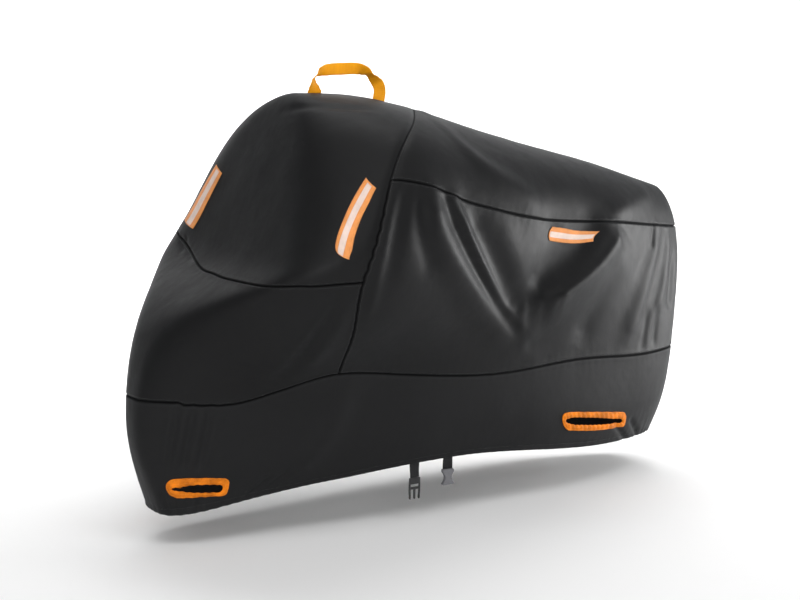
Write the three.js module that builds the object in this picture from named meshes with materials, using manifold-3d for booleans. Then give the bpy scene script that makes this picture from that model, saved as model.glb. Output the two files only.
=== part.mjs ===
// A fitted outdoor cover of sewn cloth, as it hangs in use: hollow, open below, and held up under its top.
// Millimetres, +Z up. The front of the cover is towards -X and its left side towards -Y.
// The tables are written in a working frame whose Z is the height above the ground and whose X starts 271 mm behind the foremost place of the nose.
// The exported group is moved so that its origin lies on the middle line just under the top of the cover.
import * as THREE from "three";
import { mergeVertices } from "three/addons/utils/BufferGeometryUtils.js";
import Module from "manifold-3d";

const wasm = await Module();
wasm.setup();

// ---------------------------------------------------------------- named sizes
const ORIGIN = { x: 400, z: 1302 }; // working-frame place of the part's origin, under the top cloth
const CLOTH = 2; // thickness of the coated cloth
const SEAM_GAP = 1.6; // clear distance between two panels that are sewn together
const TAPE_THICK = 1.2; // reflective tape
const TAPE_GAP = 1.7; // clear distance of the tape's corners from the outside of the cloth
const BINDING_THICK = 5; // folded webbing round a slot, both faces
const BINDING_WIDTH = 19; // width of the webbing seen round a slot
const BINDING_GAP = 0.7; // clear distance between the binding and the cloth round it
const STRAP_WIDTH = 34; // width of the belly strap's webbing
const WEBBING_THICK = 2.4;
const COLUMNS = { front: 14, rear: 27 }; // columns of each side, before and behind the upright seam
const ROWS = { band: 5, front: 6, upper: 4, roof: 7 }; // the side panel has front + upper rows, the hood upper + roof rows

// ---------------------------------------------------------------- tables of the form
// Rings of the cover, from the hem up to the line along its top. nose and tail are the ring's ends on the middle line,
// bluntNose and bluntTail are the exponents of its ends (small is square, 1 is an ellipse). z and half are the ring's
// height and half-width at the six stations.
const STATIONS = [0, 0.12, 0.3, 0.54, 0.78, 1];
const RINGS = [
  { name: "hem", v: 0, nose: -211, tail: 1659, bluntNose: 0.6, bluntTail: 0.51, z: [90, 122, 164, 183, 139, 122], half: [231, 193, 230, 263, 258, 198] },
  { name: "low", v: 0.12, nose: -262, tail: 1703, bluntNose: 0.63, bluntTail: 0.5, z: [250, 268, 292, 292, 262, 230], half: [183, 235, 276, 298, 291, 240] },
  { name: "band", v: 0.27, nose: -271, tail: 1737, bluntNose: 0.63, bluntTail: 0.51, z: [438, 450, 493, 445, 444, 409], half: [209, 297, 327, 315, 283, 258] },
  { name: "belly", v: 0.41, nose: -195, tail: 1768, bluntNose: 0.46, bluntTail: 0.56, z: [656, 626, 633, 633, 612, 580], half: [318, 433, 429, 348, 279, 241] },
  { name: "waist", v: 0.55, nose: -26, tail: 1791, bluntNose: 0.2, bluntTail: 0.59, z: [783, 793, 772, 764, 745, 714], half: [508, 543, 475, 362, 263, 200] },
  { name: "bar", v: 0.72, nose: 85, tail: 1776, bluntNose: 0.18, bluntTail: 0.59, z: [935, 1041, 1015, 982, 922, 875], half: [494, 525, 459, 335, 247, 166] },
  { name: "crown", v: 0.88, nose: 203, tail: 1727, bluntNose: 0.35, bluntTail: 0.6, z: [1234, 1241, 1200, 1124, 1042, 974], half: [342, 342, 259, 173, 141, 90] },
  { name: "ridge", v: 1, nose: 278, tail: 1693, bluntNose: 0.6, bluntTail: 0.6, z: [1308, 1302, 1252, 1159, 1080, 982], half: [0, 0, 0, 0, 0, 0] },
];
// The upright seam between the front and the rear panels: its X at a ring height v.
const UPRIGHT_SEAM = [
  { v: 0, x: 240 }, { v: 0.29, x: 238 }, { v: 0.36, x: 232 }, { v: 0.45, x: 218 }, { v: 0.54, x: 212 }, { v: 0.61, x: 240 },
  { v: 0.66, x: 266 }, { v: 0.735, x: 316 }, { v: 0.81, x: 402 }, { v: 0.88, x: 517 }, { v: 1, x: 700 },
];
// The seam over the lower band, all round: its ring height at an X.
const BAND_SEAM = [
  { x: -275, v: 0.27 }, { x: -150, v: 0.266 }, { x: -60, v: 0.261 }, { x: 80, v: 0.273 }, { x: 215, v: 0.286 }, { x: 340, v: 0.272 },
  { x: 520, v: 0.262 }, { x: 900, v: 0.274 }, { x: 1150, v: 0.276 }, { x: 1420, v: 0.264 }, { x: 1740, v: 0.284 },
];
const BAND_STEP = { x: -180, v: 0.005, over: 14 }; // the small step in that seam at the left front corner
// The seam under the roof panel, behind the upright seam.
const ROOF_SEAM = [
  { x: 300, v: 0.735 }, { x: 410, v: 0.724 }, { x: 600, v: 0.709 }, { x: 740, v: 0.695 }, { x: 930, v: 0.674 }, { x: 1180, v: 0.67 },
  { x: 1440, v: 0.677 }, { x: 1790, v: 0.68 },
];
// The seam under the hood, in front of the upright seam: at a part f of the way from the nose to the upright seam.
const HOOD_SEAM = { left: 0.548, right: 0.556, rise: 0.105, riseTo: 0.62 };

// The right side hangs lower along its hem than the left: by how much at an X.
const RIGHT_HEM_DROP = [
  { x: -211, drop: 0 }, { x: -140, drop: 22 }, { x: -20, drop: 53 }, { x: 100, drop: 64 }, { x: 230, drop: 46 }, { x: 600, drop: 14 }, { x: 1150, drop: 20 },
  { x: 1450, drop: 52 }, { x: 1590, drop: 68 }, { x: 1635, drop: 52 }, { x: 1659, drop: 0 },
];

// The main folds: a soft ridge (lift > 0) or trough along a curve through three places, with its half-width at the start
// and the end. The rows with y < 0 lie on the left side, those with y > 0 on the right side, which hangs a little otherwise.
const FOLDS = [
  { name: "side ridge 1", a: [453, -481, 1026], m: [545, -462, 812], b: [950, -308, 478], wideA: 34, wideB: 40, lift: 15, nose: 1.5, tail: 1 },
  { name: "side trough 1", a: [501, -475, 1009], m: [644, -438, 781], b: [930, -317, 528], wideA: 24, wideB: 22, lift: -11, nose: 1, tail: 0.8 },
  { name: "side ridge 2", a: [530, -470, 998], m: [686, -431, 791], b: [905, -326, 565], wideA: 22, wideB: 24, lift: 12, nose: 0.9, tail: 1.3 },
  { name: "side trough 2", a: [587, -458, 982], m: [699, -430, 803], b: [870, -345, 622], wideA: 32, wideB: 24, lift: -19, nose: 0.9, tail: 2.2 },
  { name: "side facet", a: [730, -420, 966], m: [800, -405, 794], b: [862, -360, 680], wideA: 44, wideB: 30, lift: 3, nose: 1, tail: 1.3, run: 2.5 },
  { name: "trough under the rear tape", a: [1036, -349, 905], m: [964, -361, 786], b: [876, -357, 672], wideA: 56, wideB: 24, lift: -15, nose: 1.8, tail: 1.7, run: 3.2 },
  { name: "ridge under the rear tape", a: [1318, -264, 885], m: [1157, -306, 751], b: [880, -357, 662], wideA: 60, wideB: 28, lift: 46, nose: 1.6, tail: 3, run: 4.5 },
  { name: "ridge below it", a: [886, -353, 668], m: [884, -340, 602], b: [930, -314, 515], wideA: 32, wideB: 38, lift: 9, nose: 0.9, tail: 2.8 },
  { name: "soft trough behind it", a: [1368, -248, 848], m: [1242, -275, 664], b: [1146, -281, 494], wideA: 60, wideB: 50, lift: -8 },
  { name: "tail ridge", a: [1588, -173, 835], m: [1504, -209, 668], b: [1381, -240, 458], wideA: 30, wideB: 36, lift: 10, nose: 1.3, tail: 0.9 },
  { name: "tail ridge 2", a: [1666, -140, 832], m: [1631, -166, 686], b: [1551, -201, 531], wideA: 24, wideB: 26, lift: 7 },
  { name: "tail trough", a: [1704, -129, 742], m: [1681, -148, 649], b: [1660, -162, 557], wideA: 24, wideB: 24, lift: -10 },
  { name: "trough behind the upright seam", a: [407, -484, 1039], m: [402, -505, 919], b: [464, -478, 790], wideA: 26, wideB: 40, lift: -9 },
  { name: "roof ridge", a: [660, -110, 1225], m: [690, -330, 1090], b: [1003, -348, 935], wideA: 26, wideB: 60, lift: 13 },
  { name: "roof tail ridge", a: [1612, -100, 974], m: [1416, -215, 937], b: [1248, -281, 905], wideA: 40, wideB: 30, lift: 7 },
  { name: "front diagonal ridge", a: [123, -454, 759], m: [84, -390, 655], b: [-2, -259, 492], wideA: 34, wideB: 46, lift: 13, nose: 1.2, tail: 0.8 },
  { name: "front trough", a: [141, -441, 712], m: [107, -366, 597], b: [44, -271, 487], wideA: 20, wideB: 26, lift: -8 },
  { name: "front diagonal ridge 2", a: [170, -464, 742], m: [153, -407, 639], b: [118, -312, 523], wideA: 26, wideB: 30, lift: 9, nose: 0.9, tail: 1.2 },
  { name: "hood corner ridge", a: [165, -492, 854], m: [104, -469, 823], b: [56, -433, 783], wideA: 34, wideB: 34, lift: 6 },
  { name: "band diagonal ridge", a: [280, -294, 462], m: [226, -252, 311], b: [142, -203, 210], wideA: 50, wideB: 36, lift: 9 },
  { name: "band pleat 1", a: [-201, -125, 430], m: [-212, -102, 311], b: [-214, -86, 215], wideA: 16, wideB: 12, lift: 5 },
  { name: "band pleat 2", a: [-168, -146, 425], m: [-178, -124, 326], b: [-195, -101, 225], wideA: 14, wideB: 11, lift: 5 },
  { name: "band pleat 3", a: [-126, -170, 425], m: [-138, -146, 325], b: [-145, -129, 240], wideA: 14, wideB: 11, lift: 5 },
  { name: "band pleat 4", a: [-83, -192, 425], m: [-97, -165, 324], b: [-111, -143, 240], wideA: 14, wideB: 12, lift: 4 },
  { name: "right side ridge 1", a: [500, 470, 1005], m: [640, 447, 780], b: [980, 300, 500], wideA: 34, wideB: 46, lift: 14 },
  { name: "right side trough 1", a: [640, 445, 980], m: [760, 420, 800], b: [960, 320, 600], wideA: 36, wideB: 30, lift: -16 },
  { name: "right side ridge 2", a: [1120, 320, 860], m: [1060, 325, 700], b: [1080, 290, 500], wideA: 44, wideB: 54, lift: 12 },
  { name: "right hollow under the rear tape", a: [1250, 285, 840], m: [1200, 297, 750], b: [1150, 300, 640], wideA: 40, wideB: 40, lift: -12 },
  { name: "right tail ridge", a: [1540, 190, 840], m: [1500, 210, 640], b: [1440, 228, 450], wideA: 40, wideB: 44, lift: 9 },
  { name: "right roof ridge", a: [720, 120, 1205], m: [800, 300, 1070], b: [1100, 322, 915], wideA: 34, wideB: 60, lift: 9 },
  { name: "right front diagonal ridge", a: [130, 455, 750], m: [60, 370, 630], b: [-20, 250, 490], wideA: 38, wideB: 48, lift: 11 },
  { name: "right band ridge", a: [300, 300, 455], m: [260, 262, 320], b: [200, 220, 215], wideA: 46, wideB: 40, lift: 8 },
  { name: "right band pleat", a: [-150, 155, 425], m: [-165, 133, 325], b: [-175, 112, 235], wideA: 16, wideB: 14, lift: 5 },
];
// Reflective tapes: both long edges of each, through places given as [ring parameter u, ring height v].
const TAPES = [
  { name: "tape_front_left", on: "hood", side: -1, edge1: [[0.5613, 0.7555], [0.5729, 0.7274], [0.5898, 0.6891], [0.6002, 0.6603], [0.6071, 0.6354]], edge2: [[0.5919, 0.7287], [0.6057, 0.6991], [0.6194, 0.6569], [0.6219, 0.628], [0.6154, 0.6052]] },
  { name: "tape_front_right", on: "hood", side: 1, edge1: [[0.38, 0.797], [0.447, 0.752], [0.505, 0.696]], edge2: [[0.303, 0.787], [0.352, 0.742], [0.397, 0.685]] },
  { name: "tape_rear_left", on: "side_left", side: -1, edge1: [[0.7267, 0.6552], [0.733, 0.6509], [0.7389, 0.646], [0.744, 0.6448], [0.7489, 0.6451]], edge2: [[0.7272, 0.6231], [0.7318, 0.6172], [0.7359, 0.6145], [0.74, 0.615], [0.7452, 0.6199]] },
  { name: "tape_rear_right", on: "side_right", side: 1, edge1: [[0.7259, 0.652], [0.7387, 0.649], [0.7518, 0.646]], edge2: [[0.7258, 0.62], [0.737, 0.617], [0.7491, 0.617]] },
];
// Slots in the band with their webbing: ring parameters of the outer end towards the nose, the middle and the other end,
// the shift of the upper edge, and the length and height over the webbing.
const SLOTS = [
  { name: "front", end1: [0.1789, 0.064], mid: [0.247, 0.057], end2: [0.2891, 0.044], up: [0.0025, 0.0225], length: 180, height: 59, gapHeight: 24 },
  { name: "rear", end1: [0.5326, 0.101], mid: [0.567, 0.0905], end2: [0.618, 0.077], up: [-0.006, 0.0315], length: 320, height: 68, gapHeight: 27 },
];
// The grab handle: a webbing whose middle line stands in the middle plane. turn is the angle by which its width leans out of that plane.
const HANDLE = [
  { x: 344.2, z: 1311, turn: 0, wide: 48 }, { x: 343.6, z: 1322, turn: 12, wide: 44 }, { x: 343, z: 1342, turn: 40, wide: 38 }, { x: 350, z: 1358, turn: 72, wide: 36 },
  { x: 366, z: 1371, turn: 35, wide: 36 }, { x: 392, z: 1377, turn: 8, wide: 36 }, { x: 440, z: 1380, turn: 0, wide: 37 }, { x: 492, z: 1381, turn: 8, wide: 36 },
  { x: 520, z: 1375, turn: 40, wide: 36 }, { x: 541, z: 1362, turn: 80, wide: 36 }, { x: 558, z: 1347, turn: 55, wide: 36 }, { x: 573, z: 1330, turn: 18, wide: 38 },
  { x: 577, z: 1310, turn: 5, wide: 42 }, { x: 573.2, z: 1287.5, turn: 0, wide: 44 },
];
const HANDLE_Y = 0, HANDLE_GAP = 0.9;
// The two hanging ends of the belly strap, sewn inside the left hem, and the buckle halves on them: X at the hem, the height
// of the sewn end and of the lower end, and how the end is turned about the upright and leans along X (degrees).
const STRAPS = [
  { name: "strap_front", x: 545, sewn: 24, bottom: 139, yaw: 3, lean: 1.5 },
  { name: "strap_rear", x: 663, sewn: 24, bottom: 153, yaw: -8, lean: -1 },
];

// ---------------------------------------------------------------- small maths
// Weights of the knots of a natural cubic spline at q; with flatEnd its slope at the last knot is zero.
function splineMatrix(knots, flatEnd) {
  const n = knots.length, h = [];
  for (let i = 0; i < n - 1; i++) h.push(knots[i + 1] - knots[i]);
  const A = [], B = [];
  for (let i = 0; i < n; i++) { A.push(new Array(n).fill(0)); B.push(new Array(n).fill(0)); }
  A[0][0] = 1;
  for (let i = 1; i < n - 1; i++) {
    A[i][i - 1] = h[i - 1]; A[i][i] = 2 * (h[i - 1] + h[i]); A[i][i + 1] = h[i];
    B[i][i - 1] = 6 / h[i - 1]; B[i][i] = -6 / h[i - 1] - 6 / h[i]; B[i][i + 1] = 6 / h[i];
  }
  const last = h[n - 2];
  if (flatEnd) { A[n - 1][n - 2] = last; A[n - 1][n - 1] = 2 * last; B[n - 1][n - 2] = 6 / last; B[n - 1][n - 1] = -6 / last; }
  else A[n - 1][n - 1] = 1;
  for (let c = 0; c < n; c++) { // Gauss-Jordan without pivoting: the matrix is diagonally dominant
    const p = A[c][c];
    for (let j = 0; j < n; j++) { A[c][j] /= p; B[c][j] /= p; }
    for (let r = 0; r < n; r++) {
      if (r === c || A[r][c] === 0) continue;
      const f = A[r][c];
      for (let j = 0; j < n; j++) { A[r][j] -= f * A[c][j]; B[r][j] -= f * B[c][j]; }
    }
  }
  return B;
}
function splineWeights(knots, M, q) {
  const n = knots.length;
  let i = 0;
  while (i < n - 2 && q >= knots[i + 1]) i++;
  const h = knots[i + 1] - knots[i], t = q - knots[i], a = knots[i + 1] - q;
  const W = new Array(n).fill(0);
  W[i] += a / h; W[i + 1] += t / h;
  const c0 = (a * a * a) / (6 * h) - (a * h) / 6, c1 = (t * t * t) / (6 * h) - (t * h) / 6;
  for (let j = 0; j < n; j++) W[j] += c0 * M[i][j] + c1 * M[i + 1][j];
  return W;
}
const dot = (w, list) => w.reduce((s, x, i) => s + x * list[i], 0);
const vKnots = RINGS.map((r) => r.v);
const vFree = splineMatrix(vKnots, false), vFlat = splineMatrix(vKnots, true), sFree = splineMatrix(STATIONS, false);
function spline1(table, key, value) { // a curve through the rows of a table
  const k = table.map((r) => r[key]), y = table.map((r) => r[value]), M = splineMatrix(k, false);
  return (q) => dot(splineWeights(k, M, Math.min(Math.max(q, k[0]), k[k.length - 1])), y);
}
const hemDrop = spline1(RIGHT_HEM_DROP, "x", "drop"), uprightX = spline1(UPRIGHT_SEAM, "v", "x"), bandV = spline1(BAND_SEAM, "x", "v"), roofV = spline1(ROOF_SEAM, "x", "v");
const smooth = (t) => { const c = Math.min(Math.max(t, 0), 1); return c * c * (3 - 2 * c); };

// ---------------------------------------------------------------- the surface
// The smooth form without folds: u runs round a ring from the nose (0) to the tail (1), v from the hem (0) to the top (1).
const ringCache = new Map();
function ring(v) {
  if (!ringCache.has(v)) {
    const w = splineWeights(vKnots, vFree, v), wf = splineWeights(vKnots, vFlat, v);
    ringCache.set(v, {
      nose: dot(w, RINGS.map((r) => r.nose)), tail: dot(w, RINGS.map((r) => r.tail)),
      pn: dot(w, RINGS.map((r) => r.bluntNose)), pt: dot(w, RINGS.map((r) => r.bluntTail)),
      z: STATIONS.map((_, j) => dot(wf, RINGS.map((r) => r.z[j]))),
      half: STATIONS.map((_, j) => dot(w, RINGS.map((r) => r.half[j]))),
    });
  }
  return ringCache.get(v);
}
function form(u, v, side) {
  const r = ring(v);
  const a = Math.pow(u, 1 / r.pn), b = Math.pow(1 - u, 1 / r.pt);
  const th = (Math.PI * a) / (a + b), s = (1 - Math.cos(th)) / 2;
  const e = u <= 0 || u >= 1 ? 0 : Math.pow(Math.sin(th), r.pn + (r.pt - r.pn) * s);
  const w = splineWeights(STATIONS, sFree, s);
  const x = r.nose + (r.tail - r.nose) * s, drop = side > 0 && v < 0.25 ? hemDrop(x) * (1 - smooth(v / 0.25)) * smooth(e * 4) : 0;
  return new THREE.Vector3(x, side * dot(w, r.half) * e, dot(w, r.z) - drop);
}
function normalAt(u, v, side) {
  const e = 2e-3;
  const u0 = Math.max(u - e, 1e-4), u1 = Math.min(u + e, 1 - 1e-4), v0 = Math.max(v - e, 0), v1 = Math.min(v + e, 1 - 1e-4);
  const uc = Math.min(Math.max(u, 1e-3), 1 - 1e-3), vc = Math.min(v, 1 - 1e-3);
  const du = form(u1, vc, side).sub(form(u0, vc, side)), dv = form(uc, v1, side).sub(form(uc, v0, side));
  const n = du.cross(dv).normalize();
  if (side > 0) n.negate();
  if (u <= 0 || u >= 1 || v >= 1) { n.y = 0; n.normalize(); } // on the middle line both sides agree
  return n;
}
// Each fold as a chain of places with its half-width.
const chains = FOLDS.map((f) => {
  const c = f.m.map((m, i) => 2 * m - (f.a[i] + f.b[i]) / 2), pts = [];
  for (let k = 0; k <= 12; k++) {
    const t = k / 12;
    pts.push({ t, p: new THREE.Vector3(...f.a.map((a, i) => (1 - t) * (1 - t) * a + 2 * t * (1 - t) * c[i] + t * t * f.b[i])) });
  }
  return { ...f, pts };
});
function foldLift(p) {
  let sum = 0;
  for (const f of chains) {
    const near = [];
    let best = 1e9;
    for (let k = 0; k < 12; k++) {
      const A = f.pts[k].p, B = f.pts[k + 1].p, d = B.clone().sub(A), t = Math.min(Math.max(p.clone().sub(A).dot(d) / d.lengthSq(), 0), 1);
      const off = p.clone().sub(A).addScaledVector(d, -t), q = off.length();
      near.push([q, (k + t) / 12, (off.z * d.x - off.x * d.z) / d.length()]);
      if (q < best) best = q;
    }
    if (best > 3 * Math.max(f.wideA, f.wideB) * Math.max(f.nose ?? 1, f.tail ?? 1)) continue;
    // the part of the way along the fold and the distance towards the tail, blended over the near pieces so that neither jumps
    let at = 0, tail = 0, all = 0;
    for (const [q, t, side] of near) { const w = Math.exp((best - q) / 9); at += t * w; tail += side * w; all += w; }
    at /= all; tail /= all;
    const flank = (f.nose ?? 1) + ((f.tail ?? 1) - (f.nose ?? 1)) * smooth(tail / (16 + 1.5 * best) + 0.5); // stretch of the flanks on those sides
    const end = at < 0.5 ? 0.45 + 0.55 * smooth(at * 5) : 0.12 + 0.88 * smooth((1 - at) * (f.run ?? 5)); // folds start at a seam and run out
    const wide = (f.wideA + (f.wideB - f.wideA) * at) * flank;
    sum += f.lift * end * Math.exp(-(best * best) / (wide * wide));
  }
  return sum;
}
function surface(u, v, side, out = 0) {
  const p = form(u, v, side), n = normalAt(u, v, side);
  return p.clone().addScaledVector(n, foldLift(p) + out);
}

// ---------------------------------------------------------------- columns of equal steps along each ring
// At each of 41 ring heights, the ring parameter of every column, so that a column divides the way from the nose to the
// upright seam, or from there to the tail, in equal parts.
const LEVELS = 41, NF = COLUMNS.front, NR = COLUMNS.rear;
const columnU = [];
for (let k = 0; k < LEVELS; k++) {
  const v = k / (LEVELS - 1), N = 480, len = [0], us = [0];
  let prev = form(0, v, -1), seam = 0;
  const X = uprightX(v);
  for (let i = 1; i <= N; i++) {
    const p = form(i / N, v, -1), d = p.distanceTo(prev);
    if (prev.x < X && p.x >= X) seam = len[i - 1] + (d * (X - prev.x)) / (p.x - prev.x);
    len.push(len[i - 1] + d); us.push(i / N); prev = p;
  }
  const at = (L) => { let i = 1; while (i < N && len[i] < L) i++; return us[i - 1] + ((us[i] - us[i - 1]) * (L - len[i - 1])) / (len[i] - len[i - 1]); };
  const row = [];
  for (let c = 0; c <= NF; c++) row.push(c === 0 ? 0 : at(((seam - SEAM_GAP / 2) * c) / NF));
  for (let c = 0; c <= NR; c++) row.push(c === NR ? 1 : at(seam + SEAM_GAP / 2 + ((len[N] - seam - SEAM_GAP / 2) * c) / NR));
  columnU.push(row);
}
const FIRST_REAR = NF + 1, LAST = NF + 1 + NR;
function columnAt(c, v) {
  const q = Math.min(Math.max(v, 0), 1) * (LEVELS - 1), k = Math.min(Math.floor(q), LEVELS - 2);
  return columnU[k][c] + (columnU[k + 1][c] - columnU[k][c]) * (q - k);
}
// The seams as ring heights by column and side.
function bandSeam(c, side) {
  const x = form(columnAt(c, 0.27), 0.27, side).x;
  return bandV(x) - (side < 0 ? BAND_STEP.v * smooth((x - BAND_STEP.x) / BAND_STEP.over + 0.5) * (1 - smooth((x + 60) / 120)) : 0);
}
const roofSeam = (c) => roofV(form(columnAt(c, 0.7), 0.7, -1).x);
function hoodSeam(c, side) {
  const f = c / NF;
  return side < 0 ? HOOD_SEAM.left + (HOOD_SEAM.right - HOOD_SEAM.left) * (1 - smooth(f * 5)) : HOOD_SEAM.right + HOOD_SEAM.rise * smooth(f / HOOD_SEAM.riseTo);
}

// ---------------------------------------------------------------- cloth solids
// A panel is collected as quads of its middle surface; equal places become one vertex.
class Sheet {
  constructor() { this.points = []; this.params = []; this.keys = new Map(); this.faces = []; }
  vertex(p) {
    const k = p.toArray().map((x) => Math.round(x * 200)).join();
    if (!this.keys.has(k)) { this.keys.set(k, this.points.length); this.points.push(p); }
    return this.keys.get(k);
  }
  triangle(a, b, c) { if (a !== b && b !== c && a !== c) this.faces.push([a, b, c]); }
  quad(a, b, c, d) { // a b c d in order; the shorter diagonal cuts it
    const P = this.points;
    if (P[a].distanceTo(P[c]) <= P[b].distanceTo(P[d])) { this.triangle(a, b, c); this.triangle(a, c, d); }
    else { this.triangle(b, c, d); this.triangle(b, d, a); }
  }
  grid(rows, flip) { // rows of places; flip turns the outside over
    const id = rows.map((r) => r.map((p) => this.vertex(p)));
    for (let i = 0; i < id.length - 1; i++)
      for (let j = 0; j < id[i].length - 1; j++)
        flip ? this.quad(id[i][j], id[i + 1][j], id[i + 1][j + 1], id[i][j + 1]) : this.quad(id[i][j], id[i][j + 1], id[i + 1][j + 1], id[i + 1][j]);
    return id;
  }
  solid(thick, shift = 0) { // outer and inner skins, joined round every free edge
    const n = this.points.map(() => new THREE.Vector3()), e1 = new THREE.Vector3(), e2 = new THREE.Vector3(), P = this.points;
    for (const [a, b, c] of this.faces) {
      e1.subVectors(P[b], P[a]); e2.subVectors(P[c], P[a]);
      const f = e1.clone().cross(e2);
      n[a].add(f); n[b].add(f); n[c].add(f);
    }
    const pos = [];
    for (const s of [shift + thick / 2, shift - thick / 2]) P.forEach((p, i) => pos.push(...p.clone().addScaledVector(n[i].clone().normalize(), s).toArray()));
    const N = P.length, index = [], edges = new Map();
    for (const [a, b, c] of this.faces) {
      index.push(a, b, c, a + N, c + N, b + N);
      for (const [p, q] of [[a, b], [b, c], [c, a]]) edges.set(p + "_" + q, [p, q]);
    }
    for (const [p, q] of edges.values()) if (!edges.has(q + "_" + p)) index.push(p, p + N, q + N, p, q + N, q);
    const g = new THREE.BufferGeometry();
    g.setAttribute("position", new THREE.BufferAttribute(new Float32Array(pos), 3));
    g.setIndex(index);
    return g;
  }
}
// Part of one side between two columns, from a lower to an upper seam. lo and hi give the ring height of a column, and
// part(i, c) how far row i of column c is from the one to the other.
function addSide(sheet, side, c0, c1, lo, hi, n, part = (i) => i / n, skip = -1, stop = null) {
  const rows = [];
  for (let i = 0; i <= n; i++) {
    const r = [];
    for (let c = c0; c <= c1; c++) {
      if (c === skip) continue;
      const v = lo(c) + (hi(c) - lo(c)) * part(i, c);
      const u = c === stop ? 1 - 1e-3 : columnAt(c, v), p = surface(u, v, side);
      if (c === stop) p.y = (side * SEAM_GAP) / 2;
      r.push(p);
    }
    rows.push(r);
  }
  sheet.grid(rows, side > 0);
}
const EDGE = SEAM_GAP / 2 / 1250; // half a seam gap as a ring height
const sheets = {};
const panel = (name) => sheets[name] || (sheets[name] = new Sheet());
for (const side of [-1, 1]) {
  const end = side < 0 ? "left" : "right";
  const band = (c) => bandSeam(c, side), hood = (c) => hoodSeam(c, side);
  // Along the upright seam the rows of the panels on its two sides are at the same heights; away from it they spread evenly.
  const low = band(NF), mid = hood(NF), high = roofSeam(FIRST_REAR);
  const seamRow = (i, n1, v0, v1, n2, v2) => (i <= n1 ? v0 + ((v1 - v0) * i) / n1 : v1 + ((v2 - v1) * (i - n1)) / n2);
  const nSide = ROWS.front + ROWS.upper, nHood = ROWS.upper + ROWS.roof;
  const sidePart = (i, c) => {
    const at = (seamRow(i, ROWS.front, low, mid, ROWS.upper, high) - low) / (high - low);
    return at + (i / nSide - at) * smooth((c - FIRST_REAR) / 14);
  };
  const hoodPart = (i, c) => {
    const at = (seamRow(i, ROWS.upper, mid, high, ROWS.roof, 1) - mid) / (1 - mid);
    return i / nHood + (at - i / nHood) * smooth(c / NF);
  };
  // The band is in two lengths: they meet at the middle of the tail and under the right upright seam.
  addSide(panel("lower_band"), side, 0, side < 0 ? LAST : NF, () => 0, (c) => band(c) - EDGE, ROWS.band, undefined, FIRST_REAR, LAST);
  if (side > 0) addSide(panel("band_right"), side, FIRST_REAR, LAST, () => 0, (c) => band(c) - EDGE, ROWS.band, undefined, -1, LAST);
  addSide(panel("front_panel"), side, 0, NF, (c) => band(c) + EDGE, (c) => hood(c) - EDGE, ROWS.front);
  addSide(panel("hood"), side, 0, NF, (c) => hood(c) + EDGE, () => 1, nHood, hoodPart);
  // The side panels meet at the middle of the tail, so each stops short of the middle line there.
  addSide(panel("side_" + end), side, FIRST_REAR, LAST, (c) => band(c) + EDGE, (c) => roofSeam(c) - EDGE, nSide, sidePart, -1, LAST);
  addSide(panel("roof"), side, FIRST_REAR, LAST, (c) => roofSeam(c) + EDGE, () => 1, ROWS.roof);
}

// ---------------------------------------------------------------- solids for cutting
function toManifold(g) {
  const c = g.clone();
  for (const k of Object.keys(c.attributes)) if (k !== "position") c.deleteAttribute(k);
  const m = mergeVertices(c, 1e-4);
  return new wasm.Manifold(new wasm.Mesh({ numProp: 3, vertProperties: m.attributes.position.array, triVerts: new Uint32Array(m.index.array) }));
}
function fromManifold(s) {
  const m = s.getMesh(), n = m.numProp, v = new Float32Array(m.numVert * 3);
  for (let i = 0; i < m.numVert; i++) v.set(m.vertProperties.subarray(i * n, i * n + 3), i * 3);
  return new THREE.BufferGeometry().setAttribute("position", new THREE.BufferAttribute(v, 3)).setIndex(new THREE.BufferAttribute(new Uint32Array(m.triVerts), 1));
}

// ---------------------------------------------------------------- slots
// A place of a slot's own plane, a along it and b up from its middle, both in millimetres.
function slotPlace(slot, side, a, b, out) {
  const t = a / (slot.length / 2), h = b / (slot.height / 2);
  const q = (i) => slot.mid[i] + ((slot.end2[i] - slot.end1[i]) / 2) * t + ((slot.end2[i] + slot.end1[i]) / 2 - slot.mid[i]) * t * t + slot.up[i] * h;
  return surface(q(0), q(1), side, out);
}
function obround(length, height, n) { // places round a bar with round ends
  const r = height / 2, half = length / 2 - r, pts = [];
  for (const s of [1, -1])
    for (let i = 0; i <= n; i++) { const w = (s > 0 ? -Math.PI / 2 : Math.PI / 2) + (Math.PI * i) / n; pts.push([s * half + r * Math.cos(w), r * Math.sin(w)]); }
  const full = [];
  pts.forEach((p, i) => { // extra places on the straight runs
    full.push(p);
    const q = pts[(i + 1) % pts.length], d = Math.hypot(q[0] - p[0], q[1] - p[1]), k = d > 40 ? 6 : 1;
    for (let j = 1; j < k; j++) full.push([p[0] + ((q[0] - p[0]) * j) / k, p[1] + ((q[1] - p[1]) * j) / k]);
  });
  return full;
}
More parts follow.
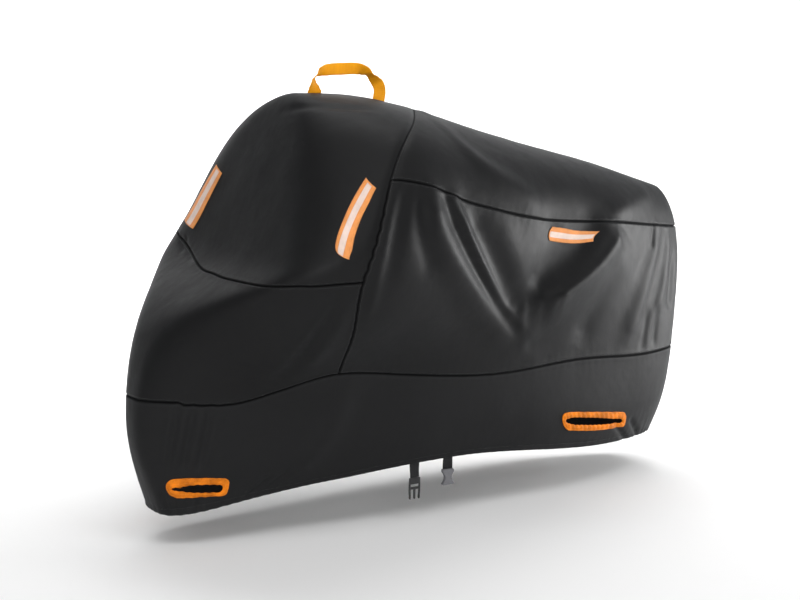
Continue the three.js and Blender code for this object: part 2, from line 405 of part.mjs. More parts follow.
function plug(slot, side, grow, out) { // a bent plate that fills the slot's outline, for cutting the cloth
  const outer = obround(slot.length + 2 * grow, slot.height + 2 * grow, 5), s = [], N = outer.length, index = [], pos = [];
  for (const o of [out, -out]) for (const k of [1, 0.5]) outer.forEach(([a, b]) => pos.push(...slotPlace(slot, side, a * (k === 1 ? 1 : 0.72), b * (k === 1 ? 1 : 0.02), o).toArray()));
  for (const o of [out, -out]) s.push(slotPlace(slot, side, 0, 0, o));
  pos.push(...s[0].toArray(), ...s[1].toArray());
  for (let i = 0; i < N; i++) {
    const j = (i + 1) % N, A = i, B = j, C = N + i, D = N + j, E = 2 * N + i, F = 2 * N + j, G = 3 * N + i, H = 3 * N + j, T = 4 * N, U = 4 * N + 1;
    index.push(A, B, D, A, D, C, C, D, T, E, H, F, E, G, H, G, U, H, A, E, F, A, F, B);
  }
  const g = new THREE.BufferGeometry();
  g.setAttribute("position", new THREE.BufferAttribute(new Float32Array(pos), 3));
  g.setIndex(side < 0 ? index : index.map((_, i, l) => l[i - (i % 3) + [0, 2, 1][i % 3]]));
  return g;
}
function bindingRing(slot, side) { // the folded webbing round the slot
  const outer = obround(slot.length, slot.height, 5), inner = obround(slot.length - 2 * BINDING_WIDTH, slot.gapHeight, 5);
  const N = outer.length, pos = [], index = [], t = BINDING_THICK / 2, bulge = 1.2;
  const loops = [[outer, t - bulge], [outer.map((p, i) => [(p[0] + inner[i][0]) / 2, (p[1] + inner[i][1]) / 2]), t + bulge], [inner, t - bulge], [inner, -t], [outer, -t]];
  for (const [loop, o] of loops) loop.forEach(([a, b]) => pos.push(...slotPlace(slot, side, a, b, o).toArray()));
  for (let k = 0; k < 5; k++)
    for (let i = 0; i < N; i++) {
      const j = (i + 1) % N, A = k * N + i, B = k * N + j, m = (k + 1) % 5, C = m * N + j, D = m * N + i;
      index.push(A, B, C, A, C, D);
    }
  const g = new THREE.BufferGeometry();
  g.setAttribute("position", new THREE.BufferAttribute(new Float32Array(pos), 3));
  g.setIndex(side < 0 ? index : index.map((_, i, l) => l[i - (i % 3) + [0, 2, 1][i % 3]]));
  return g;
}

// ---------------------------------------------------------------- materials
const cloth = (c) => new THREE.MeshStandardMaterial({ color: c, roughness: 0.62, metalness: 0 });
const material = {
  hood: cloth(0x2e2f31), front_panel: cloth(0x28292b), roof: cloth(0x323335), side_left: cloth(0x2c2d2f), side_right: cloth(0x2c2d2f), lower_band: cloth(0x343537), band_right: cloth(0x343537),
  tape: new THREE.MeshStandardMaterial({ color: 0xf5a05c, roughness: 0.45, metalness: 0 }),
  webbing: new THREE.MeshStandardMaterial({ color: 0xf5a021, roughness: 0.75, metalness: 0 }),
  binding: new THREE.MeshStandardMaterial({ color: 0xf08a1e, roughness: 0.75, metalness: 0 }),
  strap: new THREE.MeshStandardMaterial({ color: 0x17181a, roughness: 0.8, metalness: 0 }),
  buckle: new THREE.MeshStandardMaterial({ color: 0x1b1c1e, roughness: 0.4, metalness: 0 }),
};
const cover = new THREE.Group();
const add = (name, geometry, mat) => { const m = new THREE.Mesh(geometry, mat.clone()); m.name = name; cover.add(m); return m; };

// ---------------------------------------------------------------- panels
const placed = {};
for (const name of ["hood", "front_panel", "roof", "side_left", "side_right"]) placed[name] = add(name, sheets[name].solid(CLOTH), material[name]);
for (const name of ["lower_band", "band_right"]) {
  let band = toManifold(sheets[name].solid(CLOTH));
  for (const slot of SLOTS)
    for (const side of [-1, 1]) if ((name === "band_right") === (slot.name === "rear" && side > 0)) band = band.subtract(toManifold(plug(slot, side, BINDING_GAP, 14)));
  add(name, fromManifold(band), material[name]);
}

// ---------------------------------------------------------------- bindings and tapes
for (const slot of SLOTS) for (const side of [-1, 1]) add("binding_" + slot.name + (side < 0 ? "_left" : "_right"), bindingRing(slot, side), material.binding);
const edgeCurve = (places) => new THREE.CatmullRomCurve3(places.map(([u, v]) => new THREE.Vector3(u * 100, v * 100, 0)), false, "centripetal");
const onCurve = (curve, t) => { const p = curve.getPoint(t); return [p.x / 100, p.y / 100]; };
// The place on the outside of a panel at (u, v), moved out by a distance.
function onOutside(mesh, u, v, side, out) {
  const p = surface(u, v, side), n = normalAt(u, v, side);
  const hit = new THREE.Raycaster(p.clone().addScaledVector(n, 80), n.clone().negate()).intersectObject(mesh)[0];
  return (hit ? hit.point : p.addScaledVector(n, CLOTH / 2)).addScaledVector(n, out);
}
for (const tape of TAPES) {
  const s = new Sheet(), rows = [], along = 12, across = 4, under = placed[tape.on], curve1 = edgeCurve(tape.edge1), curve2 = edgeCurve(tape.edge2);
  for (let i = 0; i <= across; i++) {
    const r = [];
    for (let j = 0; j <= along; j++) {
      const p = onCurve(curve1, j / along), q = onCurve(curve2, j / along), k = i / across;
      r.push(onOutside(under, p[0] + (q[0] - p[0]) * k, p[1] + (q[1] - p[1]) * k, tape.side, TAPE_GAP + TAPE_THICK / 2));
    }
    rows.push(r);
  }
  s.grid(rows, false);
  const g = s.solid(TAPE_THICK), vol = toManifoldOrNull(g);
  add(tape.name, vol ? g : flipped(g), material.tape);
}
function toManifoldOrNull(g) { return toManifold(g).volume() > 0; }
function flipped(g) { const ix = Array.from(g.index.array); for (let i = 0; i < ix.length; i += 3) [ix[i + 1], ix[i + 2]] = [ix[i + 2], ix[i + 1]]; const o = g.clone(); o.setIndex(ix); return o; }

// ---------------------------------------------------------------- handle
// A flat webbing along a curve: at each place, its width and the direction of that width.
function ribbon(places, thick) {
  const pos = [], index = [], N = places.length;
  for (const { p, across, normal, wide } of places)
    for (const [a, b] of [[-1, -1], [1, -1], [1, 1], [-1, 1]]) pos.push(...p.clone().addScaledVector(across, (a * wide) / 2).addScaledVector(normal, (b * thick) / 2).toArray());
  for (let i = 0; i < N - 1; i++)
    for (let k = 0; k < 4; k++) {
      const j = (k + 1) % 4, A = 4 * i + k, B = 4 * i + j, C = 4 * i + 4 + j, D = 4 * i + 4 + k;
      if (k === 2) index.push(A, B, D, B, C, D); // the same diagonals on both faces, so a twisted webbing keeps its thickness
      else index.push(A, B, C, A, C, D);
    }
  const e = 4 * (N - 1);
  index.push(0, 2, 1, 0, 3, 2, e, e + 1, e + 2, e, e + 2, e + 3);
  const g = new THREE.BufferGeometry();
  g.setAttribute("position", new THREE.BufferAttribute(new Float32Array(pos), 3));
  g.setIndex(index);
  return toManifold(g).volume() > 0 ? g : flipped(g);
}
const handleX = [], handleCurve = new THREE.CatmullRomCurve3(HANDLE.map((h) => new THREE.Vector3(h.x, HANDLE_Y, h.z)), false, "centripetal");
for (let i = 0; i <= 52; i++) {
  const t = i / 52, q = t * (HANDLE.length - 1), k = Math.min(Math.floor(q), HANDLE.length - 2), f = smooth(q - k);
  const p = handleCurve.getPoint(t), tan = handleCurve.getTangent(t).setY(0).normalize();
  const inPlane = new THREE.Vector3(tan.z, 0, -tan.x); // across the webbing within the middle plane
  const turn = THREE.MathUtils.degToRad(HANDLE[k].turn + (HANDLE[k + 1].turn - HANDLE[k].turn) * f);
  const across = inPlane.clone().multiplyScalar(Math.cos(turn)).add(new THREE.Vector3(0, Math.sin(turn), 0));
  handleX.push({ p, across, normal: tan.clone().cross(across).normalize(), wide: HANDLE[k].wide + (HANDLE[k + 1].wide - HANDLE[k].wide) * f });
}
const handle = ribbon(handleX, WEBBING_THICK), handleEnd = 4 * (handleX.length - 1);
for (const k of [0, 1, 2, 3, handleEnd, handleEnd + 1, handleEnd + 2, handleEnd + 3]) { // the ends are cut to the slope of the hood
  const at = handle.attributes.position, hit = new THREE.Raycaster(new THREE.Vector3(at.getX(k), at.getY(k), 1500), new THREE.Vector3(0, 0, -1)).intersectObject(placed.hood)[0];
  at.setZ(k, hit.point.z + HANDLE_GAP);
}
add("handle", handle, material.webbing);

// ---------------------------------------------------------------- straps and buckle halves
function ringPlace(x, v, side) { // the ring parameter at an X
  let lo = 0.01, hi = 0.99;
  for (let i = 0; i < 30; i++) { const u = (lo + hi) / 2; if (form(u, v, side).x < x) lo = u; else hi = u; }
  return (lo + hi) / 2;
}
function plate(shape, thick) { // a shape in x and z, through y
  const g = new THREE.ExtrudeGeometry(shape, { depth: thick, bevelEnabled: false, curveSegments: 4 });
  g.translate(0, 0, -thick / 2);
  g.rotateX(Math.PI / 2);
  return g;
}
const poly = (pts) => new THREE.Shape(pts.map((p) => new THREE.Vector2(...p)));
const mirrored = (pts) => [...pts, ...pts.slice().reverse().map(([x, z]) => [-x, z])]; // the right half, from the top down, and its mirror image
STRAPS.forEach((s, i) => {
  // the webbing follows the inside of the cloth over its sewn length, then hangs straight down
  const inside = -(CLOTH / 2 + WEBBING_THICK / 2 + 1.6), places = [], out = new THREE.Vector3(0, -1, 0);
  for (const h of [1, 0.5, 0]) {
    const v = (h * s.sewn) / 1000, u = ringPlace(s.x, v, -1);
    const p = surface(u, v, -1, inside), n = normalAt(u, v, -1);
    places.push({ p, across: new THREE.Vector3(1, 0, 0).addScaledVector(n, -n.x).normalize(), normal: n, wide: STRAP_WIDTH });
  }
  const low = places[places.length - 1].p, yaw = THREE.MathUtils.degToRad(s.yaw), lean = Math.tan(THREE.MathUtils.degToRad(s.lean));
  const across = new THREE.Vector3(Math.cos(yaw), Math.sin(yaw), 0);
  for (const k of [0.25, 0.6, 1]) {
    const z = low.z + (s.bottom - low.z) * k;
    const w = places[0].across.clone().lerp(across, Math.min(k * 1.6, 1)).normalize();
    places.push({ p: new THREE.Vector3(low.x + (low.z - z) * lean, low.y, z), across: w, normal: new THREE.Vector3(0, 0, 1).cross(w).multiplyScalar(-1).normalize(), wide: STRAP_WIDTH });
  }
  add(s.name, ribbon(places, WEBBING_THICK), material.strap);
  const end = places[places.length - 1].p, group = new THREE.Group();
  group.position.set(end.x, end.y, end.z - 0.5);
  group.rotation.set(0, THREE.MathUtils.degToRad(s.lean), yaw, "ZYX");
  let b;
  if (i === 0) {
    // the half with three prongs: a block, the bar that holds the strap behind a slit, and the prongs
    const outline = poly(mirrored([[20, 0], [20.5, -20], [21, -38], [20.5, -52], [19, -66], [15.5, -68], [14, -62], [15, -50], [16, -40], [15, -36], [3.2, -36], [2.8, -64], [1.2, -67]]));
    outline.holes.push(new THREE.Path([[-16, -20], [-16, -29], [16, -29], [16, -20]].map((p) => new THREE.Vector2(...p))));
    b = new THREE.Mesh(plate(outline, 7), material.buckle.clone());
    b.name = "buckle_prongs";
  } else {
    // the socket half: shoulders, a waist and a flared mouth, hollow from below
    const body = plate(poly(mirrored([[17, 0], [19.5, -3], [19, -9], [12, -20], [10.5, -28], [14, -38], [20, -46], [20, -50]])), 14);
    const hollow = plate(poly(mirrored([[8, -22], [8, -32], [13, -44], [15, -54]])), 8);
    b = new THREE.Mesh(fromManifold(toManifold(body).subtract(toManifold(hollow))), material.buckle.clone());
    b.name = "buckle_socket";
  }
  group.add(b);
  cover.add(group);
});

cover.position.set(-ORIGIN.x, 0, -ORIGIN.z);
const root = new THREE.Group();
root.add(cover);
export default root;
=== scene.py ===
import bpy, bmesh, math
import numpy as np
from mathutils import Matrix, Vector


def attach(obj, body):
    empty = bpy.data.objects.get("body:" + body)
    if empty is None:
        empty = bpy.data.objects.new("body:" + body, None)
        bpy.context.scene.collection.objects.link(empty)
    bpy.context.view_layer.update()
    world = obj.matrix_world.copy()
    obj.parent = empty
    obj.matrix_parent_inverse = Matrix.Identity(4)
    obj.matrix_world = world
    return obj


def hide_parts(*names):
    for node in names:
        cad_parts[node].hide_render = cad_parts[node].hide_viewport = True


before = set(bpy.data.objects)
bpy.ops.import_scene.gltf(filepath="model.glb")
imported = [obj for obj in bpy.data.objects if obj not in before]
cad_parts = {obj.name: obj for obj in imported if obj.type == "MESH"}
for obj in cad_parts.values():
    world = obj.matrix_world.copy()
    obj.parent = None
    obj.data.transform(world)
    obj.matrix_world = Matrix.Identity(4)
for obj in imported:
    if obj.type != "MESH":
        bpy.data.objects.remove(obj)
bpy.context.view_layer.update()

# ------------------------------------------------------------------ sizes and tables
# The tables are in millimetres in a working frame: Z is the height above the ground. Everything built is in metres in the
# part's frame, whose origin is ORIGIN.
ORIGIN = np.array([400.0, 0.0, 1302.0])
GROUND = -ORIGIN[2] / 1000
CLOTH = 1.3  # drawn thickness of the cloth
CELL = 7.5  # size of a mesh cell on the cloth

STATIONS = [0, 0.12, 0.3, 0.54, 0.78, 1]
# v, nose, tail, bluntNose, bluntTail, z at the stations, half-width at the stations
RINGS = np.array([
    [0, -211, 1659, 0.6, 0.51, 90, 122, 164, 183, 139, 122, 231, 193, 230, 263, 258, 198],
    [0.12, -262, 1703, 0.63, 0.5, 250, 268, 292, 292, 262, 230, 183, 235, 276, 298, 291, 240],
    [0.27, -271, 1737, 0.63, 0.51, 438, 450, 493, 445, 444, 409, 209, 297, 327, 315, 283, 258],
    [0.41, -195, 1768, 0.46, 0.56, 656, 626, 633, 633, 612, 580, 318, 433, 429, 348, 279, 241],
    [0.55, -26, 1791, 0.2, 0.59, 783, 793, 772, 764, 745, 714, 508, 543, 475, 362, 263, 200],
    [0.72, 85, 1776, 0.18, 0.59, 935, 1041, 1015, 982, 922, 875, 494, 525, 459, 335, 247, 166],
    [0.88, 203, 1727, 0.35, 0.6, 1234, 1241, 1200, 1124, 1042, 974, 342, 342, 259, 173, 141, 90],
    [1, 278, 1693, 0.6, 0.6, 1308, 1302, 1252, 1159, 1080, 982, 0, 0, 0, 0, 0, 0],
], float)
UPRIGHT_SEAM = ([0, 0.29, 0.36, 0.45, 0.54, 0.61, 0.66, 0.735, 0.81, 0.88, 1], [240, 238, 232, 218, 212, 240, 266, 316, 402, 517, 700])
BAND_SEAM = ([-275, -150, -60, 80, 215, 340, 520, 900, 1150, 1420, 1740], [0.27, 0.266, 0.261, 0.273, 0.286, 0.272, 0.262, 0.274, 0.276, 0.264, 0.284])
BAND_STEP = (-180, 0.005, 14)
ROOF_SEAM = ([300, 410, 600, 740, 930, 1180, 1440, 1790], [0.735, 0.724, 0.709, 0.695, 0.674, 0.67, 0.677, 0.68])
HOOD_SEAM = dict(left=0.548, right=0.556, rise=0.105, rise_to=0.62)
RIGHT_HEM_DROP = ([-211, -140, -20, 100, 230, 600, 1150, 1450, 1590, 1635, 1659], [0, 22, 53, 64, 46, 14, 20, 52, 68, 52, 0])

# name, start, middle, end, half-width at the start and the end, lift, stretch of the flanks towards the nose and the tail
FOLDS = [
    ("side ridge 1", (453, -481, 1026), (545, -462, 812), (950, -308, 478), 34, 40, 15, 1.5, 1, 5),
    ("side trough 1", (501, -475, 1009), (644, -438, 781), (930, -317, 528), 24, 22, -11, 1, 0.8, 5),
    ("side ridge 2", (530, -470, 998), (686, -431, 791), (905, -326, 565), 22, 24, 12, 0.9, 1.3, 5),
    ("side trough 2", (587, -458, 982), (699, -430, 803), (870, -345, 622), 32, 24, -19, 0.9, 2.2, 5),
    ("side facet", (730, -420, 966), (800, -405, 794), (862, -360, 680), 44, 30, 3, 1, 1.3, 2.5),
    ("trough under the rear tape", (1036, -349, 905), (964, -361, 786), (876, -357, 672), 56, 24, -15, 1.8, 1.7, 3.2),
    ("ridge under the rear tape", (1318, -264, 885), (1157, -306, 751), (880, -357, 662), 60, 28, 46, 1.6, 3, 4.5),
    ("ridge below it", (886, -353, 668), (884, -340, 602), (930, -314, 515), 32, 38, 9, 0.9, 2.8, 5),
    ("soft trough behind it", (1368, -248, 848), (1242, -275, 664), (1146, -281, 494), 60, 50, -8, 1, 1, 5),
    ("tail ridge", (1588, -173, 835), (1504, -209, 668), (1381, -240, 458), 30, 36, 10, 1.3, 0.9, 5),
    ("tail ridge 2", (1666, -140, 832), (1631, -166, 686), (1551, -201, 531), 24, 26, 7, 1, 1, 5),
    ("tail trough", (1704, -129, 742), (1681, -148, 649), (1660, -162, 557), 24, 24, -10, 1, 1, 5),
    ("trough behind the upright seam", (407, -484, 1039), (402, -505, 919), (464, -478, 790), 26, 40, -9, 1, 1, 5),
    ("roof ridge", (660, -110, 1225), (690, -330, 1090), (1003, -348, 935), 26, 60, 13, 1, 1, 5),
    ("roof tail ridge", (1612, -100, 974), (1416, -215, 937), (1248, -281, 905), 40, 30, 7, 1, 1, 5),
    ("front diagonal ridge", (123, -454, 759), (84, -390, 655), (-2, -259, 492), 34, 46, 13, 1.2, 0.8, 5),
    ("front trough", (141, -441, 712), (107, -366, 597), (44, -271, 487), 20, 26, -8, 1, 1, 5),
    ("front diagonal ridge 2", (170, -464, 742), (153, -407, 639), (118, -312, 523), 26, 30, 9, 0.9, 1.2, 5),
    ("hood corner ridge", (165, -492, 854), (104, -469, 823), (56, -433, 783), 34, 34, 6, 1, 1, 5),
    ("band diagonal ridge", (280, -294, 462), (226, -252, 311), (142, -203, 210), 50, 36, 9, 1, 1, 5),
    ("band pleat 1", (-201, -125, 430), (-212, -102, 311), (-214, -86, 215), 16, 12, 5, 1, 1, 5),
    ("band pleat 2", (-168, -146, 425), (-178, -124, 326), (-195, -101, 225), 14, 11, 5, 1, 1, 5),
    ("band pleat 3", (-126, -170, 425), (-138, -146, 325), (-145, -129, 240), 14, 11, 5, 1, 1, 5),
    ("band pleat 4", (-83, -192, 425), (-97, -165, 324), (-111, -143, 240), 14, 12, 4, 1, 1, 5),
    ("right side ridge 1", (500, 470, 1005), (640, 447, 780), (980, 300, 500), 34, 46, 14, 1, 1, 5),
    ("right side trough 1", (640, 445, 980), (760, 420, 800), (960, 320, 600), 36, 30, -16, 1, 1, 5),
    ("right side ridge 2", (1120, 320, 860), (1060, 325, 700), (1080, 290, 500), 44, 54, 12, 1, 1, 5),
    ("right hollow under the rear tape", (1250, 285, 840), (1200, 297, 750), (1150, 300, 640), 40, 40, -12, 1, 1, 5),
    ("right tail ridge", (1540, 190, 840), (1500, 210, 640), (1440, 228, 450), 40, 44, 9, 1, 1, 5),
    ("right roof ridge", (720, 120, 1205), (800, 300, 1070), (1100, 322, 915), 34, 60, 9, 1, 1, 5),
    ("right front diagonal ridge", (130, 455, 750), (60, 370, 630), (-20, 250, 490), 38, 48, 11, 1, 1, 5),
    ("right band ridge", (300, 300, 455), (260, 262, 320), (200, 220, 215), 46, 40, 8, 1, 1, 5),
    ("right band pleat", (-150, 155, 425), (-165, 133, 325), (-175, 112, 235), 16, 14, 5, 1, 1, 5),
]
# Folds that are too fine for the solids: the same columns.
FINE_FOLDS = [
    ("puff along the upright seam", (321, -483, 1042), (264, -510, 871), (252, -431, 652), 13, 20, 4.5, 1, 1, 5),
    ("trough beside it", (367, -482, 1053), (314, -511, 924), (285, -486, 759), 20, 30, -6, 1, 1, 5),
    ("pinch in side trough 1", (505, -474, 1000), (662, -432, 771), (912, -323, 548), 9, 10, -2.5, 1, 1, 5),
    ("tail tuck", (1556, -183, 858), (1546, -189, 826), (1533, -196, 789), 10, 11, -5, 1, 1, 5),
    ("tail pinch 1", (1516, -210, 566), (1504, -214, 505), (1487, -218, 437), 15, 18, -4, 1, 1, 5),
    ("tail pinch 2", (1579, -192, 567), (1566, -197, 505), (1554, -201, 444), 18, 20, -5, 1, 1, 5),
    ("crest under the rear tape", (1312, -268, 880), (1146, -309, 756), (880, -357, 664), 22, 12, 6, 0.8, 1.8, 4.5),
    ("shade under the rear tape", (1170, -304, 872), (1040, -342, 756), (886, -358, 680), 44, 20, -8, 1.5, 0.7, 3),
    ("hood top crease", (212, -40, 1262), (259, -166, 1270), (418, -250, 1256), 16, 18, -5, 1, 1, 5),
    ("hem gather 1", (79, -183, 192), (51, -168, 166), (17, -154, 138), 8, 10, -6, 1, 1, 5),
    ("hem gather 2", (130, -198, 204), (93, -178, 173), (65, -164, 147), 9, 11, -5, 1, 1, 5),
    ("slot tuck 1", (1358, -236, 208), (1403, -214, 170), (1455, -183, 129), 9, 12, -8, 1, 1, 5),
    ("slot tuck 2", (1453, -210, 201), (1491, -187, 167), (1528, -161, 135), 10, 12, -8, 1, 1, 5),
    ("nose tuck 1", (-216, -77, 163), (-209, -78, 136), (-200, -80, 103), 8, 9, -6, 1, 1, 5),
    ("nose tuck 2", (-190, -98, 154), (-186, -99, 127), (-181, -99, 99), 8, 9, -6, 1, 1, 5),
    ("nose tuck 3", (-154, -117, 148), (-154, -116, 126), (-159, -113, 101), 8, 9, -5, 1, 1, 5),
    ("nose tuck 4", (-121, -130, 145), (-123, -128, 129), (-130, -125, 110), 8, 9, -5, 1, 1, 5),
    ("hood seam tuck 1", (51, 341, 856), (38, 305, 838), (22, 269, 820), 8, 9, -5, 1, 1, 5),
    ("hood seam tuck 2", (51, 308, 859), (30, 246, 828), (-2, 146, 799), 9, 10, -5, 1, 1, 5),
    ("band trough 1", (-186, -136, 432), (-197, -112, 320), (-206, -92, 215), 9, 8, -5, 1, 1, 5),
    ("band trough 2", (-148, -158, 432), (-160, -134, 322), (-171, -114, 225), 9, 8, -5, 1, 1, 5),
    ("band trough 3", (-104, -181, 432), (-117, -156, 322), (-129, -135, 232), 9, 8, -5, 1, 1, 5),
]

TAPES = [
    ("tape_front_left", -1, [(0.5613, 0.7555), (0.5729, 0.7274), (0.5898, 0.6891), (0.6002, 0.6603), (0.6071, 0.6354)], [(0.5919, 0.7287), (0.6057, 0.6991), (0.6194, 0.6569), (0.6219, 0.628), (0.6154, 0.6052)]),
    ("tape_front_right", 1, [(0.38, 0.797), (0.447, 0.752), (0.505, 0.696)], [(0.303, 0.787), (0.352, 0.742), (0.397, 0.685)]),
    ("tape_rear_left", -1, [(0.7267, 0.6552), (0.733, 0.6509), (0.7389, 0.646), (0.744, 0.6448), (0.7489, 0.6451)], [(0.7272, 0.6231), (0.7318, 0.6172), (0.7359, 0.6145), (0.74, 0.615), (0.7452, 0.6199)]),
    ("tape_rear_right", 1, [(0.7259, 0.652), (0.7387, 0.649), (0.7518, 0.646)], [(0.7258, 0.62), (0.737, 0.617), (0.7491, 0.617)]),
]
# name, end towards the nose, middle, other end (ring parameters), shift of the upper edge, length and height over the webbing, height of the opening
SLOTS = [
    ("front", (0.1789, 0.064), (0.247, 0.057), (0.2891, 0.044), (0.0025, 0.0225), 180, 59, 24),
    ("rear", (0.5326, 0.101), (0.567, 0.0905), (0.618, 0.077), (-0.006, 0.0315), 320, 68, 27),
]
BINDING_WIDTH = 19
# x, z, turn, width
HANDLE = [
    (344.2, 1311, 0, 48), (343.6, 1322, 12, 44), (343, 1342, 40, 38), (350, 1358, 72, 36), (366, 1371, 35, 36), (392, 1377, 8, 36), (440, 1380, 0, 37),
    (492, 1381, 8, 36), (520, 1375, 40, 36), (541, 1362, 80, 36), (558, 1347, 55, 36), (573, 1330, 18, 38), (577, 1310, 5, 42), (573.2, 1287.5, 0, 44),
]
STRAP_WIDTH = 34
STRAPS = [("strap_front", 545, 24, 139, 3, 1.5), ("strap_rear", 663, 24, 153, -8, -1)]


# ------------------------------------------------------------------ small maths
def smooth(t):
    t = np.clip(t, 0, 1)
    return t * t * (3 - 2 * t)


def spline_matrix(xs, flat_end=False):
    n, xs = len(xs), np.asarray(xs, float)
    h = np.diff(xs)
    A, B = np.zeros((n, n)), np.zeros((n, n))
    A[0, 0] = 1
    for i in range(1, n - 1):
        A[i, i - 1], A[i, i], A[i, i + 1] = h[i - 1], 2 * (h[i - 1] + h[i]), h[i]
        B[i, i - 1], B[i, i], B[i, i + 1] = 6 / h[i - 1], -6 / h[i - 1] - 6 / h[i], 6 / h[i]
    if flat_end:
        A[n - 1, n - 2], A[n - 1, n - 1] = h[-1], 2 * h[-1]
        B[n - 1, n - 2], B[n - 1, n - 1] = 6 / h[-1], -6 / h[-1]
    else:
        A[n - 1, n - 1] = 1
    return np.linalg.solve(A, B)


def weights(xs, M, q):
    xs, q = np.asarray(xs, float), np.asarray(q, float)
    i = np.clip(np.searchsorted(xs, q, "right") - 1, 0, len(xs) - 2)
    h = xs[i + 1] - xs[i]
    t, a = q - xs[i], xs[i + 1] - q
    W = ((a**3 / (6 * h) - a * h / 6)[:, None]) * M[i] + ((t**3 / (6 * h) - t * h / 6)[:, None]) * M[i + 1]
    r = np.arange(len(q))
    W[r, i] += a / h
    W[r, i + 1] += t / h
    return W


def curve1(table):
    xs, ys = np.asarray(table[0], float), np.asarray(table[1], float)
    M = spline_matrix(xs)
    return lambda q: weights(xs, M, np.clip(np.atleast_1d(q), xs[0], xs[-1])) @ ys


VK = RINGS[:, 0]
V_FREE, V_FLAT, S_FREE = spline_matrix(VK), spline_matrix(VK, True), spline_matrix(STATIONS)
upright_x, band_v, roof_v, hem_drop = curve1(UPRIGHT_SEAM), curve1(BAND_SEAM), curve1(ROOF_SEAM), curve1(RIGHT_HEM_DROP)


# ------------------------------------------------------------------ the smooth form, as in the solids
def form(u, v, side):
    u, v = np.asarray(u, float).ravel(), np.asarray(v, float).ravel()
    side = np.broadcast_to(side, u.shape)
    out = np.empty((len(u), 3))
    for k in range(0, len(u), 60000):
        s_ = slice(k, k + 60000)
        uu, vv, sd = u[s_], v[s_], side[s_]
        W, Wf = weights(VK, V_FREE, vv), weights(VK, V_FLAT, vv)
        nose, tail, pn, pt = (W @ RINGS[:, c] for c in (1, 2, 3, 4))
        zc, wc = Wf @ RINGS[:, 5:11], W @ RINGS[:, 11:17]
        a, b = np.clip(uu, 1e-9, 1) ** (1 / pn), np.clip(1 - uu, 1e-9, 1) ** (1 / pt)
        th = np.pi * a / (a + b)
        s = (1 - np.cos(th)) / 2
        e = np.where((uu <= 0) | (uu >= 1), 0, np.clip(np.sin(th), 0, 1) ** (pn + (pt - pn) * s))
        Ws = weights(STATIONS, S_FREE, s)
        x = nose + (tail - nose) * s
        drop = np.where((sd > 0) & (vv < 0.25), hem_drop(x) * (1 - smooth(vv / 0.25)) * smooth(e * 4), 0)
        out[s_] = np.stack([x, sd * (Ws * wc).sum(1) * e, (Ws * zc).sum(1) - drop], 1)
    return out


def normals(u, v, side):
    e = 2e-3
    u, v = np.asarray(u, float).ravel(), np.asarray(v, float).ravel()
    side = np.broadcast_to(side, u.shape).astype(float)
    uc, vc = np.clip(u, 1e-3, 1 - 1e-3), np.minimum(v, 1 - 1e-3)
    du = form(np.minimum(u + e, 1 - 1e-4), vc, side) - form(np.maximum(u - e, 1e-4), vc, side)
    dv = form(uc, np.minimum(v + e, 1 - 1e-4), side) - form(uc, np.maximum(v - e, 0), side)
    n = np.cross(du, dv)
    n /= np.linalg.norm(n, axis=1)[:, None]
    n[side > 0] *= -1
    mid = (u <= 0) | (u >= 1) | (v >= 1)
    n[mid, 1] = 0
    return n / np.linalg.norm(n, axis=1)[:, None]


def fold_lift(P, table):
    total = np.zeros(len(P))
    for _, a, m, b, wa, wb, lift, nose, tail, run in table:
        a, m, b = (np.array(x, float) for x in (a, m, b))
        c = 2 * m - (a + b) / 2
        t = np.linspace(0, 1, 13)[:, None]
        Q = (1 - t) ** 2 * a + 2 * t * (1 - t) * c + t * t * b
        reach = 3 * max(wa, wb) * max(nose, tail, 1)
        near = np.all((P > Q.min(0) - reach) & (P < Q.max(0) + reach), 1)
        if not near.any():
            continue
        p = P[near]
        D, T, S = np.empty((12, len(p))), np.empty((12, len(p))), np.empty((12, len(p)))
        for k in range(12):
            d = Q[k + 1] - Q[k]
            f = np.clip(((p - Q[k]) @ d) / (d @ d), 0, 1)
            off = p - Q[k] - f[:, None] * d
            D[k], T[k] = np.linalg.norm(off, axis=1), (k + f) / 12
            S[k] = (off[:, 2] * d[0] - off[:, 0] * d[2]) / np.linalg.norm(d)
        best = D.min(0)
        # the part of the way along the fold and the distance towards the tail, blended over the near pieces so that neither jumps
        W = np.exp((best - D) / 9)
        at, side = (W * T).sum(0) / W.sum(0), (W * S).sum(0) / W.sum(0)
        wide = (wa + (wb - wa) * at) * (nose + (tail - nose) * smooth(side / (16 + 1.5 * best) + 0.5))
        end = np.where(at < 0.5, 0.45 + 0.55 * smooth(at * 5), 0.12 + 0.88 * smooth((1 - at) * run))
        gone = best > 3 * max(wa, wb) * max(nose, tail)
        total[near] += np.where(gone, 0, lift * end * np.exp(-((best / wide) ** 2)))
    return total


def noise3(P, size, seed):
    """Smooth noise from -1 to 1 with features of about size millimetres."""
    q = P / size + seed * 17.31
    i = np.floor(q).astype(np.int64)
    f = q - i
    f = f * f * f * (f * (f * 6 - 15) + 10)
    total = np.zeros(len(P))
    for dx in (0, 1):
        for dy in (0, 1):
            for dz in (0, 1):
                n = (i[:, 0] + dx) * 374761393 + (i[:, 1] + dy) * 668265263 + (i[:, 2] + dz) * 2147483647 + seed * 1013904223
                n = (n ^ (n >> 13)) * 1274126177
                h = ((n ^ (n >> 16)) & 0xFFFFF) / 0xFFFFF * 2 - 1
                total += h * np.abs(1 - dx - f[:, 0]) * np.abs(1 - dy - f[:, 1]) * np.abs(1 - dz - f[:, 2])
    return total


